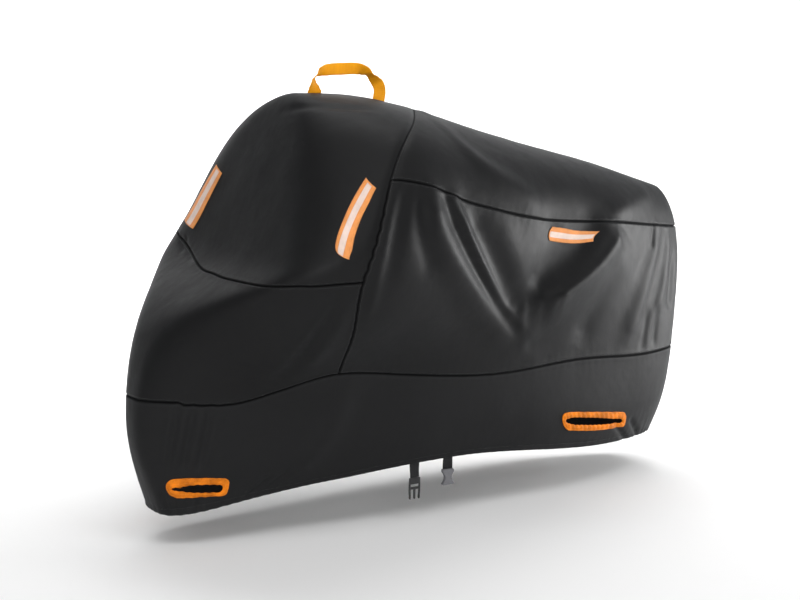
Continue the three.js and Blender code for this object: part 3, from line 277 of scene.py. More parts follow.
# ------------------------------------------------------------------ equal steps along each ring
LEVELS, STEPS = 41, 160
_u = np.linspace(0, 1, 1201)
U_FRONT, U_REAR = np.zeros((LEVELS, STEPS + 1)), np.zeros((LEVELS, STEPS + 1))
for k in range(LEVELS):
    v = k / (LEVELS - 1)
    p = form(_u, np.full(len(_u), v), -1)
    length = np.concatenate([[0], np.cumsum(np.linalg.norm(np.diff(p, axis=0), axis=1))])
    seam = np.interp(upright_x(v)[0], p[:, 0], length)
    U_FRONT[k] = np.interp(np.linspace(0, seam, STEPS + 1), length, _u)
    U_REAR[k] = np.interp(np.linspace(seam, length[-1], STEPS + 1), length, _u)
    U_FRONT[k, 0], U_REAR[k, -1] = 0, 1


def ring_u(table, t, v):
    """The ring parameter at a part t of the way from the nose to the upright seam, or from there to the tail."""
    a, b = np.clip(v, 0, 1) * (LEVELS - 1), np.clip(t, 0, 1) * STEPS
    i, j = np.minimum(a.astype(int), LEVELS - 2), np.minimum(b.astype(int), STEPS - 1)
    fa, fb = a - i, b - j
    return (table[i, j] * (1 - fb) + table[i, j + 1] * fb) * (1 - fa) + (table[i + 1, j] * (1 - fb) + table[i + 1, j + 1] * fb) * fa


def seam_band(table, t, side):
    v = np.full(len(t), 0.27)
    x = form(ring_u(table, t, v), v, side)[:, 0]
    step = BAND_STEP[1] * smooth((x - BAND_STEP[0]) / BAND_STEP[2] + 0.5) * (1 - smooth((x + 60) / 120)) if side < 0 else 0
    return band_v(x) - step


def seam_roof(t):
    v = np.full(len(t), 0.7)
    return roof_v(form(ring_u(U_REAR, t, v), v, -1)[:, 0])


def seam_hood(t, side):
    h = HOOD_SEAM
    return h["left"] + (h["right"] - h["left"]) * (1 - smooth(t * 5)) if side < 0 else h["right"] + h["rise"] * smooth(t / h["rise_to"])


# ------------------------------------------------------------------ panels as fine grids
def steps(length, lo_seam, hi_seam, cell=CELL):
    """Places from 0 to 1 over a length in millimetres, closer together at a seamed end."""
    fine = np.array([0, 0.8, 1.8, 3, 4.5, 6.5, 9, 12.5, 17])
    a = fine if lo_seam else np.array([0.0])
    b = length - (fine[::-1] if hi_seam else np.array([0.0]))
    n = max(int(round((b[0] - a[-1]) / cell)), 1)
    return np.concatenate([a, np.linspace(a[-1], b[0], n + 1)[1:-1], b]) / length


class Grid:
    """One side of a panel: rows run up the cloth, columns along it."""

    def __init__(self, table, side, t, rows, lo, hi):
        self.side, self.t, self.rows = side, t, rows
        T = np.broadcast_to(t, (len(rows), len(t)))
        self.v = lo[None, :] + (hi - lo)[None, :] * rows[:, None]
        self.u = ring_u(table, T.ravel(), self.v.ravel()).reshape(T.shape)
        if table is U_FRONT:
            self.u[:, t <= 0] = 0
        else:
            self.u[:, t >= 1] = 1
        self.shape = T.shape
        self.P0 = form(self.u, self.v, side).reshape(*T.shape, 3)
        self.N0 = normals(self.u, self.v, side).reshape(*T.shape, 3)
        up = np.linalg.norm(np.diff(self.P0, axis=0), axis=2)
        along = np.linalg.norm(np.diff(self.P0, axis=1), axis=2)
        z = np.zeros
        self.up = np.concatenate([z((1, T.shape[1])), np.cumsum(up, 0)])
        self.along = np.concatenate([z((T.shape[0], 1)), np.cumsum(along, 1)], 1)


FRONT_LEN, REAR_LEN = 620, 1560  # rough lengths for the steps


def groove(d, deep=3.4, reach=4.5):
    return -deep * (1 - smooth(d / reach)) ** 1.5


def pucker(d, s, P, amount, pitch, seed):
    """Small gathers along a seam: d from the seam, s along it."""
    wave = np.sin(2 * np.pi * s / pitch + 2.6 * noise3(P, 60, seed)) * (0.55 + 0.45 * noise3(P, 90, seed + 5))
    return amount * wave * smooth(d / 7) * np.exp(-d / 24)


def relief(g, seams):
    """Lift of a grid's places along their normals. seams lists (edge, kind), edge being lo, hi, start or end."""
    P = g.P0.reshape(-1, 3)
    lift = fold_lift(P, FOLDS) + fold_lift(P, FINE_FOLDS)
    lift += 1.5 * noise3(P, 170, 3) + 0.7 * noise3(P, 85, 4) + 0.22 * noise3(P, 36, 6)
    lift = lift.reshape(g.shape)
    total_up, total_along = g.up[-1:, :], g.along[:, -1:]
    wear, crease = np.zeros(g.shape), np.zeros(g.shape)
    for edge, kind in seams:
        d, s = {
            "lo": (g.up, g.along), "hi": (total_up - g.up, g.along), "start": (g.along, g.up), "end": (total_along - g.along, g.up),
        }[edge]
        if kind == "seam":
            lift += groove(d, 4.6, 6)
            lift += 0.5 * np.exp(-(((d - 9) / 4) ** 2))  # the doubled edge
            lift += pucker(d.ravel(), s.ravel(), P, 0.45, 34, 11 + len(edge)).reshape(g.shape)
            wear = np.maximum(wear, 0.4 * np.exp(-(((d - 9) / 4) ** 2)))
            # painted shade: the cloth's colour is darkened inside the seam
            crease = np.maximum(crease, np.exp(-((d / 4.6) ** 2)))
        elif kind == "soft":
            lift += groove(d, 1.2, 4) - 4.2 * np.exp(-((d / 15) ** 2)) * smooth((total_up - s) / 240)
            wear = np.maximum(wear, 0.3 * np.exp(-(((d - 7) / 3.5) ** 2)))
            # painted shade: the cloth's colour is darkened inside the soft seam
            crease = np.maximum(crease, 0.8 * np.exp(-((d / 4) ** 2)))
        elif kind == "hem":
            lift += 1.3 * np.sin(np.pi * np.clip(d / 22, 0, 1)) ** 0.6 * (d < 22) - 1.1 * np.exp(-(((d - 22) / 2.2) ** 2))
            lift -= 5.0 * (1 - smooth(d / 7)) ** 2
            x = g.P0[..., 0]
            ends = smooth((150 - x) / 300) + smooth((x - 1300) / 280)
            gather = np.sin(2 * np.pi * s / 31 + 3 * noise3(P, 70, 21).reshape(g.shape)) * (0.6 + 0.4 * noise3(P, 110, 22).reshape(g.shape))
            lift += (0.5 + 2.2 * ends) * gather * np.exp(-d / 42)
            wear = np.maximum(wear, np.exp(-((d / 6) ** 2)))
    g.wear = wear - crease  # rubbed cloth above 0, painted shade inside a seam below 0
    g.lift = lift
    g.P = g.P0 + g.N0 * lift[..., None]
    if np.any(g.u <= 0):
        g.P[g.u <= 0, 1] = 0
    mid = g.v >= 1 - 1e-9
    g.P[mid, 1] = 0


def welded(grids, tail_gap=None):
    """Quads of all the grids with equal places made one vertex; the outside faces out."""
    pts, quads, uv, wear, base = [], [], [], [], 0
    for g in grids:
        R, C = g.shape
        pts.append(g.P.reshape(-1, 3))
        uv.append(np.stack([g.along.ravel() * g.side, g.up.ravel()], 1))
        wear.append(g.wear.ravel())
        i = (np.arange(R - 1)[:, None] * C + np.arange(C - 1)[None, :]).ravel() + base
        q = np.stack([i, i + 1, i + C + 1, i + C], 1)
        quads.append(q if g.side < 0 else q[:, ::-1])
        base += R * C
    P, Q, UV, W = np.concatenate(pts), np.concatenate(quads), np.concatenate(uv), np.concatenate(wear)
    _, first, inv = np.unique(np.round(P / 0.02).astype(np.int64), axis=0, return_index=True, return_inverse=True)
    inv = inv.ravel()
    return P[first], inv[Q], UV, Q, W[first]


def vertex_normals(P, Q):
    n = np.cross(P[Q[:, 2]] - P[Q[:, 0]], P[Q[:, 3 % Q.shape[1]]] - P[Q[:, 1]])
    out = np.zeros_like(P)
    for k in range(Q.shape[1]):
        np.add.at(out, Q[:, k], n)
    L = np.linalg.norm(out, axis=1)
    return out / np.maximum(L, 1e-12)[:, None]


def shell(name, P, Q, thick, UV=None, UQ=None, wear=None):
    """A closed thin solid from a surface of quads; P is the outside."""
    n = vertex_normals(P, Q)
    keep = np.array([len(set(q)) == 4 for q in Q.tolist()])
    tri = Q[~keep]
    faces = Q[keep].tolist() + [list(dict.fromkeys(q)) for q in tri.tolist()]
    src = (UQ[keep].tolist() + [[w for i, w in enumerate(uq) if q.index(q[i]) == i] for q, uq in zip(tri.tolist(), UQ[~keep].tolist())]) if UQ is not None else None
    ok = [len(f) >= 3 for f in faces]
    faces = [f for f, k in zip(faces, ok) if k]
    if src is not None:
        src = [f for f, k in zip(src, ok) if k]
    N = len(P)
    edges = set()
    for f in faces:
        for a, b in zip(f, f[1:] + f[:1]):
            edges.add((a, b))
    rim = [(a, b) for a, b in edges if (b, a) not in edges]
    verts = np.concatenate([P, P - n * thick])
    all_faces = faces + [[v + N for v in reversed(f)] for f in faces] + [[b, a, a + N, b + N] for a, b in rim]
    mesh = bpy.data.meshes.new(name)
    mesh.from_pydata(((verts - ORIGIN) / 1000).tolist(), [], all_faces)
    if src is not None:
        layer = mesh.uv_layers.new(name="cloth")
        flat = UV / 1000
        data = []
        for f in src:
            for w in f:
                data += [flat[w, 0], flat[w, 1]]
        for f in src:
            for w in reversed(f):
                data += [flat[w, 0], flat[w, 1]]
        data += [0.0] * (2 * 4 * len(rim))
        layer.data.foreach_set("uv", data)
    if wear is not None:
        att = mesh.attributes.new("wear", "FLOAT", "POINT")
        att.data.foreach_set("value", np.concatenate([wear, wear]))
    return finish_mesh(name, mesh)


def finish_mesh(name, mesh, sharp=False):
    mesh.validate()
    mesh.update()
    if not sharp:
        mesh.polygons.foreach_set("use_smooth", [True] * len(mesh.polygons))
    obj = bpy.data.objects.new(name, mesh)
    bpy.context.scene.collection.objects.link(obj)
    return obj


# ------------------------------------------------------------------ the camera, at the photograph's angle
cam_data = bpy.data.cameras.new("camera")
cam_data.lens, cam_data.sensor_width, cam_data.sensor_fit = 67.5, 36, "HORIZONTAL"
cam_data.clip_start, cam_data.clip_end = 0.05, 60
camera = bpy.data.objects.new("camera", cam_data)
bpy.context.scene.collection.objects.link(camera)
_a, _p = math.radians(33), math.radians(8.032)
right = Vector((math.cos(_a), -math.sin(_a), 0))
fwd = Vector((math.sin(_a) * math.cos(_p), math.cos(_a) * math.cos(_p), -math.sin(_p)))
up = right.cross(fwd)
m = Matrix((right, up, -fwd)).transposed().to_4x4()
m.translation = (-1.932 - 0.4, -3.979, 1.321 - 1.302)
camera.matrix_world = m
bpy.context.scene.camera = camera


# ------------------------------------------------------------------ materials
def nodes_of(mat):
    mat.use_nodes = True
    t = mat.node_tree
    t.nodes.clear()
    out, b = t.nodes.new("ShaderNodeOutputMaterial"), t.nodes.new("ShaderNodeBsdfPrincipled")
    t.links.new(b.outputs["BSDF"], out.inputs["Surface"])
    return t, b


def add_node(t, kind, **values):
    n = t.nodes.new(kind)
    for k, v in values.items():
        if hasattr(n, k) and k not in n.inputs:
            setattr(n, k, v)
        else:
            n.inputs[k].default_value = v
    return n


def math_node(t, op, a, b=None, clamp=False):
    n = t.nodes.new("ShaderNodeMath")
    n.operation, n.use_clamp = op, clamp
    for i, x in enumerate((a, b)):
        if x is None:
            continue
        if isinstance(x, (int, float)):
            n.inputs[i].default_value = x
        else:
            t.links.new(x, n.inputs[i])
    return n.outputs[0]


def mix_colour(t, fac, a, b, mode="MIX"):
    n = t.nodes.new("ShaderNodeMix")
    n.data_type, n.blend_type = "RGBA", mode
    for sock, x in ((n.inputs[0], fac), (n.inputs[6], a), (n.inputs[7], b)):
        if isinstance(x, (int, float)):
            sock.default_value = x
        elif isinstance(x, (tuple, list)):
            sock.default_value = (*x, 1)
        else:
            t.links.new(x, sock)
    return n.outputs[2]


def weave_height(t, uv, pitch_u, pitch_v, turn=0.0):
    """A plain weave from two crossed waves."""
    mp = add_node(t, "ShaderNodeMapping")
    t.links.new(uv, mp.inputs["Vector"])
    mp.inputs["Rotation"].default_value = (0, 0, turn)
    heights = []
    for axis, pitch in (("X", pitch_u), ("Y", pitch_v)):
        w = add_node(t, "ShaderNodeTexWave", wave_type="BANDS", bands_direction=axis, wave_profile="SIN", Scale=1 / pitch / 20 * 6.2832 / 2, Distortion=0.6)
        w.inputs["Detail"].default_value = 1
        w.inputs["Detail Scale"].default_value = 2
        t.links.new(mp.outputs[0], w.inputs["Vector"])
        heights.append(w.outputs["Fac"])
    return math_node(t, "MULTIPLY", heights[0], heights[1])


def cloth_material(name, colour, rough=0.5, tint=0.0):
    mat = bpy.data.materials.new(name)
    t, b = nodes_of(mat)
    coords = add_node(t, "ShaderNodeTexCoord")
    uv = add_node(t, "ShaderNodeUVMap", uv_map="cloth")
    big = add_node(t, "ShaderNodeTexNoise", Scale=3.1, Detail=3.0, Roughness=0.5)
    mid = add_node(t, "ShaderNodeTexNoise", Scale=24.0, Detail=4.0, Roughness=0.6)
    fine = add_node(t, "ShaderNodeTexNoise", Scale=900.0, Detail=2.0, Roughness=0.6)
    for n in (big, mid, fine):
        t.links.new(coords.outputs["Object"], n.inputs["Vector"])
    wear = add_node(t, "ShaderNodeAttribute", attribute_name="wear")
    dark = tuple(c * 0.82 for c in colour)
    light = tuple(c * 1.22 + tint for c in colour)
    col = mix_colour(t, big.outputs["Fac"], dark, light)
    col = mix_colour(t, math_node(t, "MULTIPLY", fine.outputs["Fac"], 0.16), col, tuple(c * 2.0 + 0.004 for c in colour))
    above = math_node(t, "MAXIMUM", wear.outputs["Fac"], 0.0)
    # the part of the attribute under 0 is painted shade inside the seams: it darkens the colour to 0.12 of itself and
    # roughens the cloth
    below = math_node(t, "MAXIMUM", math_node(t, "MULTIPLY", wear.outputs["Fac"], -1.0), 0.0)
    rub = math_node(t, "MULTIPLY", above, math_node(t, "MULTIPLY", mid.outputs["Fac"], 0.5))
    col = mix_colour(t, rub, col, tuple(c * 2.1 + 0.006 for c in colour))
    col = mix_colour(t, below, col, tuple(c * 0.12 for c in colour))
    t.links.new(col, b.inputs["Base Color"])
    r = math_node(t, "ADD", math_node(t, "MULTIPLY", mid.outputs["Fac"], 0.14), rough - 0.07)
    r = math_node(t, "ADD", r, math_node(t, "MULTIPLY", below, 0.5), True)
    t.links.new(r, b.inputs["Roughness"])
    b.inputs["Specular IOR Level"].default_value = 0.5
    b.inputs["IOR"].default_value = 1.2
    b.inputs["Sheen Weight"].default_value = 0.02
    b.inputs["Sheen Roughness"].default_value = 0.45
    b.inputs["Sheen Tint"].default_value = (0.85, 0.9, 1, 1)
    weave = weave_height(t, uv.outputs["UV"], 0.0011, 0.0011)
    crinkle = add_node(t, "ShaderNodeTexNoise", Scale=42.0, Detail=5.0, Roughness=0.55)
    t.links.new(coords.outputs["Object"], crinkle.inputs["Vector"])
    b1 = add_node(t, "ShaderNodeBump", Strength=0.35, Distance=0.0016)
    t.links.new(crinkle.outputs["Fac"], b1.inputs["Height"])
    b2 = add_node(t, "ShaderNodeBump", Strength=0.3, Distance=0.00025)
    t.links.new(weave, b2.inputs["Height"])
    t.links.new(b1.outputs[0], b2.inputs["Normal"])
    t.links.new(b2.outputs[0], b.inputs["Normal"])
    return mat


def webbing_material(name, colour, rough=0.7, pitch=0.0022, sheen=0.3, uneven=0.0):
    mat = bpy.data.materials.new(name)
    t, b = nodes_of(mat)
    coords = add_node(t, "ShaderNodeTexCoord")
    uv = add_node(t, "ShaderNodeUVMap", uv_map="cloth")
    fine = add_node(t, "ShaderNodeTexNoise", Scale=420.0, Detail=3.0, Roughness=0.6)
    big = add_node(t, "ShaderNodeTexNoise", Scale=26.0, Detail=3.0, Roughness=0.5)
    for n in (fine, big):
        t.links.new(coords.outputs["Object"], n.inputs["Vector"])
    weave = weave_height(t, uv.outputs["UV"], pitch, pitch * 0.7, 0.0)
    tone = math_node(t, "MULTIPLY", math_node(t, "SUBTRACT", big.outputs["Fac"], 0.34), 3.2, True)
    col = mix_colour(t, tone, tuple(c * (0.86 - uneven) for c in colour), tuple(min(c * 1.1, 1) for c in colour))
    # painted shade: the colour is darker where the weave's height is low
    col = mix_colour(t, math_node(t, "MULTIPLY", math_node(t, "SUBTRACT", 1.0, weave), 0.3), col, tuple(c * 0.55 for c in colour))
    col = mix_colour(t, math_node(t, "MULTIPLY", fine.outputs["Fac"], 0.2), col, tuple(min(c * 1.25 + 0.02, 1) for c in colour))
    t.links.new(col, b.inputs["Base Color"])
    t.links.new(math_node(t, "ADD", math_node(t, "MULTIPLY", fine.outputs["Fac"], 0.2), rough - 0.1), b.inputs["Roughness"])
    b.inputs["Sheen Weight"].default_value = sheen
    b.inputs["Sheen Roughness"].default_value = 0.4
    b.inputs["Specular IOR Level"].default_value = 0.12
    bump = add_node(t, "ShaderNodeBump", Strength=0.8, Distance=0.0006)
    t.links.new(weave, bump.inputs["Height"])
    t.links.new(bump.outputs[0], b.inputs["Normal"])
    return mat


def plastic_material(name, colour, rough=0.42):
    mat = bpy.data.materials.new(name)
    t, b = nodes_of(mat)
    coords = add_node(t, "ShaderNodeTexCoord")
    fine = add_node(t, "ShaderNodeTexNoise", Scale=1500.0, Detail=3.0, Roughness=0.6)
    big = add_node(t, "ShaderNodeTexNoise", Scale=90.0, Detail=4.0, Roughness=0.6)
    for n in (fine, big):
        t.links.new(coords.outputs["Object"], n.inputs["Vector"])
    t.links.new(mix_colour(t, big.outputs["Fac"], tuple(c * 0.8 for c in colour), tuple(c * 1.3 for c in colour)), b.inputs["Base Color"])
    t.links.new(math_node(t, "ADD", math_node(t, "MULTIPLY", big.outputs["Fac"], 0.2), rough - 0.1), b.inputs["Roughness"])
    bump = add_node(t, "ShaderNodeBump", Strength=0.25, Distance=0.0002)
    t.links.new(fine.outputs["Fac"], bump.inputs["Height"])
    t.links.new(bump.outputs[0], b.inputs["Normal"])
    return mat


BLACK = (0.0085, 0.0086, 0.009)
MATS = {
    "hood": cloth_material("cloth_hood", BLACK, 0.5),
    "front_panel": cloth_material("cloth_front", BLACK, 0.5),
    "roof": cloth_material("cloth_roof", BLACK, 0.5),
    "side_left": cloth_material("cloth_side_left", BLACK, 0.47),
    "side_right": cloth_material("cloth_side_right", BLACK, 0.47),
    "lower_band": cloth_material("cloth_band", tuple(1.25 * c for c in BLACK), 0.56),
    "band_right": cloth_material("cloth_band_right", tuple(1.25 * c for c in BLACK), 0.56),
    "thread": webbing_material("thread_black", (0.02, 0.02, 0.021), 0.6, 0.0006),
    "thread_orange": webbing_material("thread_orange", (0.85, 0.3, 0.03), 0.6, 0.0006),
    "tape": webbing_material("tape_orange", (0.86, 0.33, 0.1), 0.5, 0.0012, 0.06),
    "stripe": webbing_material("tape_stripe", (0.84, 0.66, 0.58), 0.35, 0.0012, 0.06),
    "handle": webbing_material("webbing_amber", (1.0, 0.37, 0.006), 0.65, 0.0026, 0.04),
    "binding": webbing_material("webbing_orange", (0.95, 0.24, 0.008), 0.65, 0.0022, 0.04, 0.42),
    "strap": webbing_material("webbing_black", (0.012, 0.012, 0.013), 0.65, 0.0024, 0.15),
    "buckle": plastic_material("plastic_black", (0.014, 0.014, 0.015), 0.4),
    "socket": plastic_material("plastic_grey", (0.13, 0.13, 0.14), 0.45),
}


def give(obj, key, node=None):
    obj.data.materials.append(MATS[key])
    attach(obj, "root")
    if node:
        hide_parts(node)
    return obj


# ------------------------------------------------------------------ the panels
T_FRONT = steps(FRONT_LEN, False, True)
T_REAR = steps(REAR_LEN, True, False)
T_REAR_SIDE = steps(REAR_LEN, True, True)
# near the nose corner the ring turns sharply; the steps are finer only towards the seams
GRIDS = {}
for side in (-1, 1):
    end = "left" if side < 0 else "right"
    bf, bs = seam_band(U_FRONT, T_FRONT, side), seam_band(U_REAR, T_REAR_SIDE, side)
    hood = seam_hood(T_FRONT, side)
    roof = seam_roof(T_REAR)
    one = np.ones
    rows_band = steps(420, True, True)
    GRIDS["band_f_" + end] = g = Grid(U_FRONT, side, T_FRONT, rows_band, 0 * bf, bf)
    relief(g, [("lo", "hem"), ("hi", "seam")] + ([("end", "seam")] if side > 0 else []))
    GRIDS["band_r_" + end] = g = Grid(U_REAR, side, T_REAR_SIDE, rows_band, 0 * bs, bs)
    relief(g, [("lo", "hem"), ("hi", "seam"), ("end", "seam")] + ([("start", "seam")] if side > 0 else []))
    GRIDS["front_" + end] = g = Grid(U_FRONT, side, T_FRONT, steps(380, True, True), bf, hood)
    relief(g, [("lo", "seam"), ("hi", "seam"), ("end", "seam")])
    GRIDS["hood_" + end] = g = Grid(U_FRONT, side, T_FRONT, steps(760, True, False), hood, one(len(T_FRONT)))
    relief(g, [("lo", "seam"), ("end", "soft")])
    rs = seam_roof(T_REAR_SIDE)
    GRIDS["side_" + end] = g = Grid(U_REAR, side, T_REAR_SIDE, steps(520, True, True), bs, rs)
    relief(g, [("lo", "seam"), ("hi", "seam"), ("start", "seam"), ("end", "seam")])
    GRIDS["roof_" + end] = g = Grid(U_REAR, side, T_REAR, steps(420, True, False), roof, one(len(T_REAR)))
    relief(g, [("lo", "seam"), ("start", "soft")])
    # the side panels and the two lengths of the band meet at the middle of the tail
    for g in (GRIDS["side_" + end], GRIDS["band_r_" + end]):
        g.P[:, -1, 1] = side * 0.15

PANELS = {
    "hood": ["hood_left", "hood_right"], "front_panel": ["front_left", "front_right"], "roof": ["roof_left", "roof_right"],
    "side_left": ["side_left"], "side_right": ["side_right"], "lower_band": ["band_r_left", "band_f_left", "band_f_right"], "band_right": ["band_r_right"],
}
PIECES = {}
for name, parts in PANELS.items():
    P, Q, UV, UQ, W = welded([GRIDS[p] for p in parts])
    PIECES[name] = (P, Q, UV, UQ, W)


# ------------------------------------------------------------------ slots cut through the band
def surface_at(u, v, side, out=0.0):
    u, v = np.atleast_1d(u).astype(float), np.atleast_1d(v).astype(float)
    p, n = form(u, v, side), normals(u, v, side)
    return p + n * (fold_lift(p, FOLDS) + fold_lift(p, FINE_FOLDS) + out)[:, None]


def slot_params(slot, a, b):
    _, e1, mid, e2, up_, length, height, gap = slot
    t, h = np.asarray(a) / (length / 2), np.asarray(b) / (height / 2)
    return tuple(mid[i] + (e2[i] - e1[i]) / 2 * t + ((e2[i] + e1[i]) / 2 - mid[i]) * t * t + up_[i] * h for i in (0, 1))


def obround(length, height, n, straight=1):
    r = height / 2
    half = length / 2 - r
    pts = []
    for s in (1, -1):
        for i in range(n + 1):
            w = (-np.pi / 2 if s > 0 else np.pi / 2) + np.pi * i / n
            pts.append((s * half + r * np.cos(w), r * np.sin(w)))
    full = []
    for i, p in enumerate(pts):
        full.append(p)
        q = pts[(i + 1) % len(pts)]
        d = math.hypot(q[0] - p[0], q[1] - p[1])
        k = straight if d > 40 else 1
        for j in range(1, k):
            full.append((p[0] + (q[0] - p[0]) * j / k, p[1] + (q[1] - p[1]) * j / k))
    return np.array(full)


def worn_outline(slot, pts, length, height, inner=False):
    """The outline of a slot's webbing or of its opening, pulled out of true as it hangs."""
    a, b = pts[:, 0].copy(), pts[:, 1].copy()
    t = a / (length / 2)
    if not inner:  # the end towards the tail is squarer
        r = height / 2
        half = length / 2 - r
        c, s = np.clip((a - half) / r, 0, 1), b / r
        m = a > half
        a = np.where(m, half + r * c**0.62, a)
        b = np.where(m, r * np.sign(s) * np.abs(s) ** 0.62, b)
        if slot[0] == "front":
            b = np.where(b < 0, b * (1 - 0.12 * smooth((t + 0.4) / 1.2)), b * (1 - 0.16 * smooth((-t - 0.3) / 0.7)))
        else:
            b = np.where(b < 0, b * (1 - 0.26 * smooth((t + 0.2) / 1.1)), b * (1 - 0.12 * smooth((-t - 0.5) / 0.5)))
    elif slot[0] == "front":
        b = b * (0.35 + 0.65 * smooth((t + 1.02) / 1.1)) - 3.2
    else:
        b = b * (1 - 0.42 * smooth((t + 0.1) / 1.1)) * (0.5 + 0.5 * smooth((t + 1.02) / 0.4)) + 0.8
    return np.stack([a, b], 1)


def plug_object(slot, side, grow, out):
    L, H = slot[5] + 2 * grow, slot[6] + 2 * grow
    outer = worn_outline(slot, obround(L, H, 12, 30), L, H)
    N = len(outer)
    verts = []
    for o in (out, -out):
        for k, (sx, sy) in enumerate(((1, 1), (0.8, 0.02))):
            u, v = slot_params(slot, outer[:, 0] * sx, outer[:, 1] * sy)
            verts.append(surface_at(u, v, side, o))
    faces = []
    for i in range(N):
        j = (i + 1) % N
        A, B, C, D, E, F, G, H = i, j, N + i, N + j, 2 * N + i, 2 * N + j, 3 * N + i, 3 * N + j
        faces += [[A, B, D, C], [E, G, H, F], [A, E, F, B]]
    faces.append([N + i for i in range(N)])
    faces.append([3 * N + i for i in reversed(range(N))])
    mesh = bpy.data.meshes.new("plug")
    mesh.from_pydata(((np.concatenate(verts) - ORIGIN) / 1000).tolist(), [], faces)
    o = finish_mesh("plug", mesh)
    bm = bmesh.new()
    bm.from_mesh(mesh)
    bmesh.ops.recalc_face_normals(bm, faces=bm.faces)
    bm.to_mesh(mesh)
    bm.free()
    return o


objects = {}
for name, (P, Q, UV, UQ, W) in PIECES.items():
    objects[name] = shell(name + "_cloth", P, Q, CLOTH, UV, UQ, W)

for name in ("lower_band", "band_right"):
    band = objects[name]
    plugs = [plug_object(slot, side, -4.0, 16) for slot in SLOTS for side in (-1, 1) if (name == "band_right") == (slot[0] == "rear" and side > 0)]
    for pl in plugs:
        mod = band.modifiers.new("cut", "BOOLEAN")
        mod.operation, mod.object, mod.solver = "DIFFERENCE", pl, "EXACT"
    dg = bpy.context.evaluated_depsgraph_get()
    cut = bpy.data.meshes.new_from_object(band.evaluated_get(dg), preserve_all_data_layers=True, depsgraph=dg)
    band.modifiers.clear()
    band.data = cut
    for pl in plugs:
        bpy.data.objects.remove(pl, do_unlink=True)

for name, obj in objects.items():
    give(obj, name, name)


# ------------------------------------------------------------------ slot bindings
def closed_grid(name, loops, mat, node=None, closed_ring=True):
    """Loops of places round a section that closes on itself; each loop is a list along the piece."""
    L = np.array(loops)  # section points x places along x 3
    S, N = L.shape[:2]
    verts = L.reshape(-1, 3)
    faces, uvs = [], []
    along = np.concatenate([[0], np.cumsum(np.linalg.norm(np.diff(L.mean(0), axis=0), axis=1))])
    sect = np.concatenate([[0], np.cumsum(np.linalg.norm(np.diff(L[:, 0], axis=0), axis=1))])
    for k in range(S):
        for i in range(N if closed_ring else N - 1):
            j, m_ = (i + 1) % N, (k + 1) % S
            faces.append([k * N + i, k * N + j, m_ * N + j, m_ * N + i])
            u0, u1 = along[i], along[i] + 4 if j == 0 else along[j]
            v0, v1 = sect[k], sect[k] + 3 if m_ == 0 else sect[m_]
            uvs += [u0, v0, u1, v0, u1, v1, u0, v1]
    if not closed_ring:
        faces.append([k * N for k in range(S)])
        faces.append([k * N + N - 1 for k in reversed(range(S))])
        uvs += [0.0] * (4 * S)
    mesh = bpy.data.meshes.new(name)
    mesh.from_pydata(((verts - ORIGIN) / 1000).tolist(), [], faces)
    layer = mesh.uv_layers.new(name="cloth")
    layer.data.foreach_set("uv", (np.array(uvs) / 1000).tolist())
    bm = bmesh.new()
    bm.from_mesh(mesh)
    bmesh.ops.recalc_face_normals(bm, faces=bm.faces)
    bm.to_mesh(mesh)
    bm.free()
    return give(finish_mesh(name, mesh), mat, node)


STITCHES = {"thread": [], "thread_orange": []}


def stitch_line(places, normal, key, pitch=5.2, long=3.4, wide=0.75, high=0.55):
    """Remember stitches along a line of places with their normals."""
    places, normal = np.asarray(places, float), np.asarray(normal, float)
    d = np.concatenate([[0], np.cumsum(np.linalg.norm(np.diff(places, axis=0), axis=1))])
    n = int(d[-1] // pitch)
    if n < 1:
        return
    s = (np.arange(n) + 0.5) * pitch
    at = lambda x, a: np.stack([np.interp(x, d, a[:, i]) for i in range(3)], 1)
    p, q = at(s - long / 2, places), at(s + long / 2, places)
    m_, nn = at(s, places), at(s, normal)
    nn /= np.linalg.norm(nn, axis=1)[:, None]
    STITCHES[key].append((p, q, m_, nn, wide, high))


def build_stitches(key, name):
    verts, faces, base = [], [], 0
    for p, q, m_, nn, wide, high in STITCHES[key]:
        t = q - p
        t /= np.maximum(np.linalg.norm(t, axis=1), 1e-9)[:, None]
        w = np.cross(nn, t)
        # a low bridge: two buried ends and a raised middle of three places across
        k = len(p)
        rows = [p - nn * 0.25, p + (q - p) * 0.25, p + (q - p) * 0.75, q - nn * 0.25]
        block = np.empty((k, 10, 3))
        block[:, 0], block[:, 9] = rows[0], rows[3]
        for r, c in ((1, rows[1]), (2, rows[2])):
            o = 1 + (r - 1) * 4
            block[:, o] = c - w * wide / 2 - nn * 0.2
            block[:, o + 1] = c - w * wide * 0.25 + nn * high
            block[:, o + 2] = c + w * wide * 0.25 + nn * high
            block[:, o + 3] = c + w * wide / 2 - nn * 0.2
        f = [[0, 2, 1], [0, 3, 2], [0, 4, 3], [0, 1, 4], [1, 2, 6, 5], [2, 3, 7, 6], [3, 4, 8, 7], [4, 1, 5, 8], [9, 5, 6], [9, 6, 7], [9, 7, 8], [9, 8, 5]]
        verts.append(block.reshape(-1, 3))
        for i in range(k):
            faces += [[base + 10 * i + x for x in face] for face in f]
        base += 10 * k
    mesh = bpy.data.meshes.new(name)
    mesh.from_pydata(((np.concatenate(verts) - ORIGIN) / 1000).tolist(), [], faces)
    mesh.uv_layers.new(name="cloth")
    obj = finish_mesh(name, mesh)
    bm = bmesh.new()
    bm.from_mesh(mesh)
    bmesh.ops.recalc_face_normals(bm, faces=bm.faces)
    bm.to_mesh(mesh)
    bm.free()
    return give(obj, key)


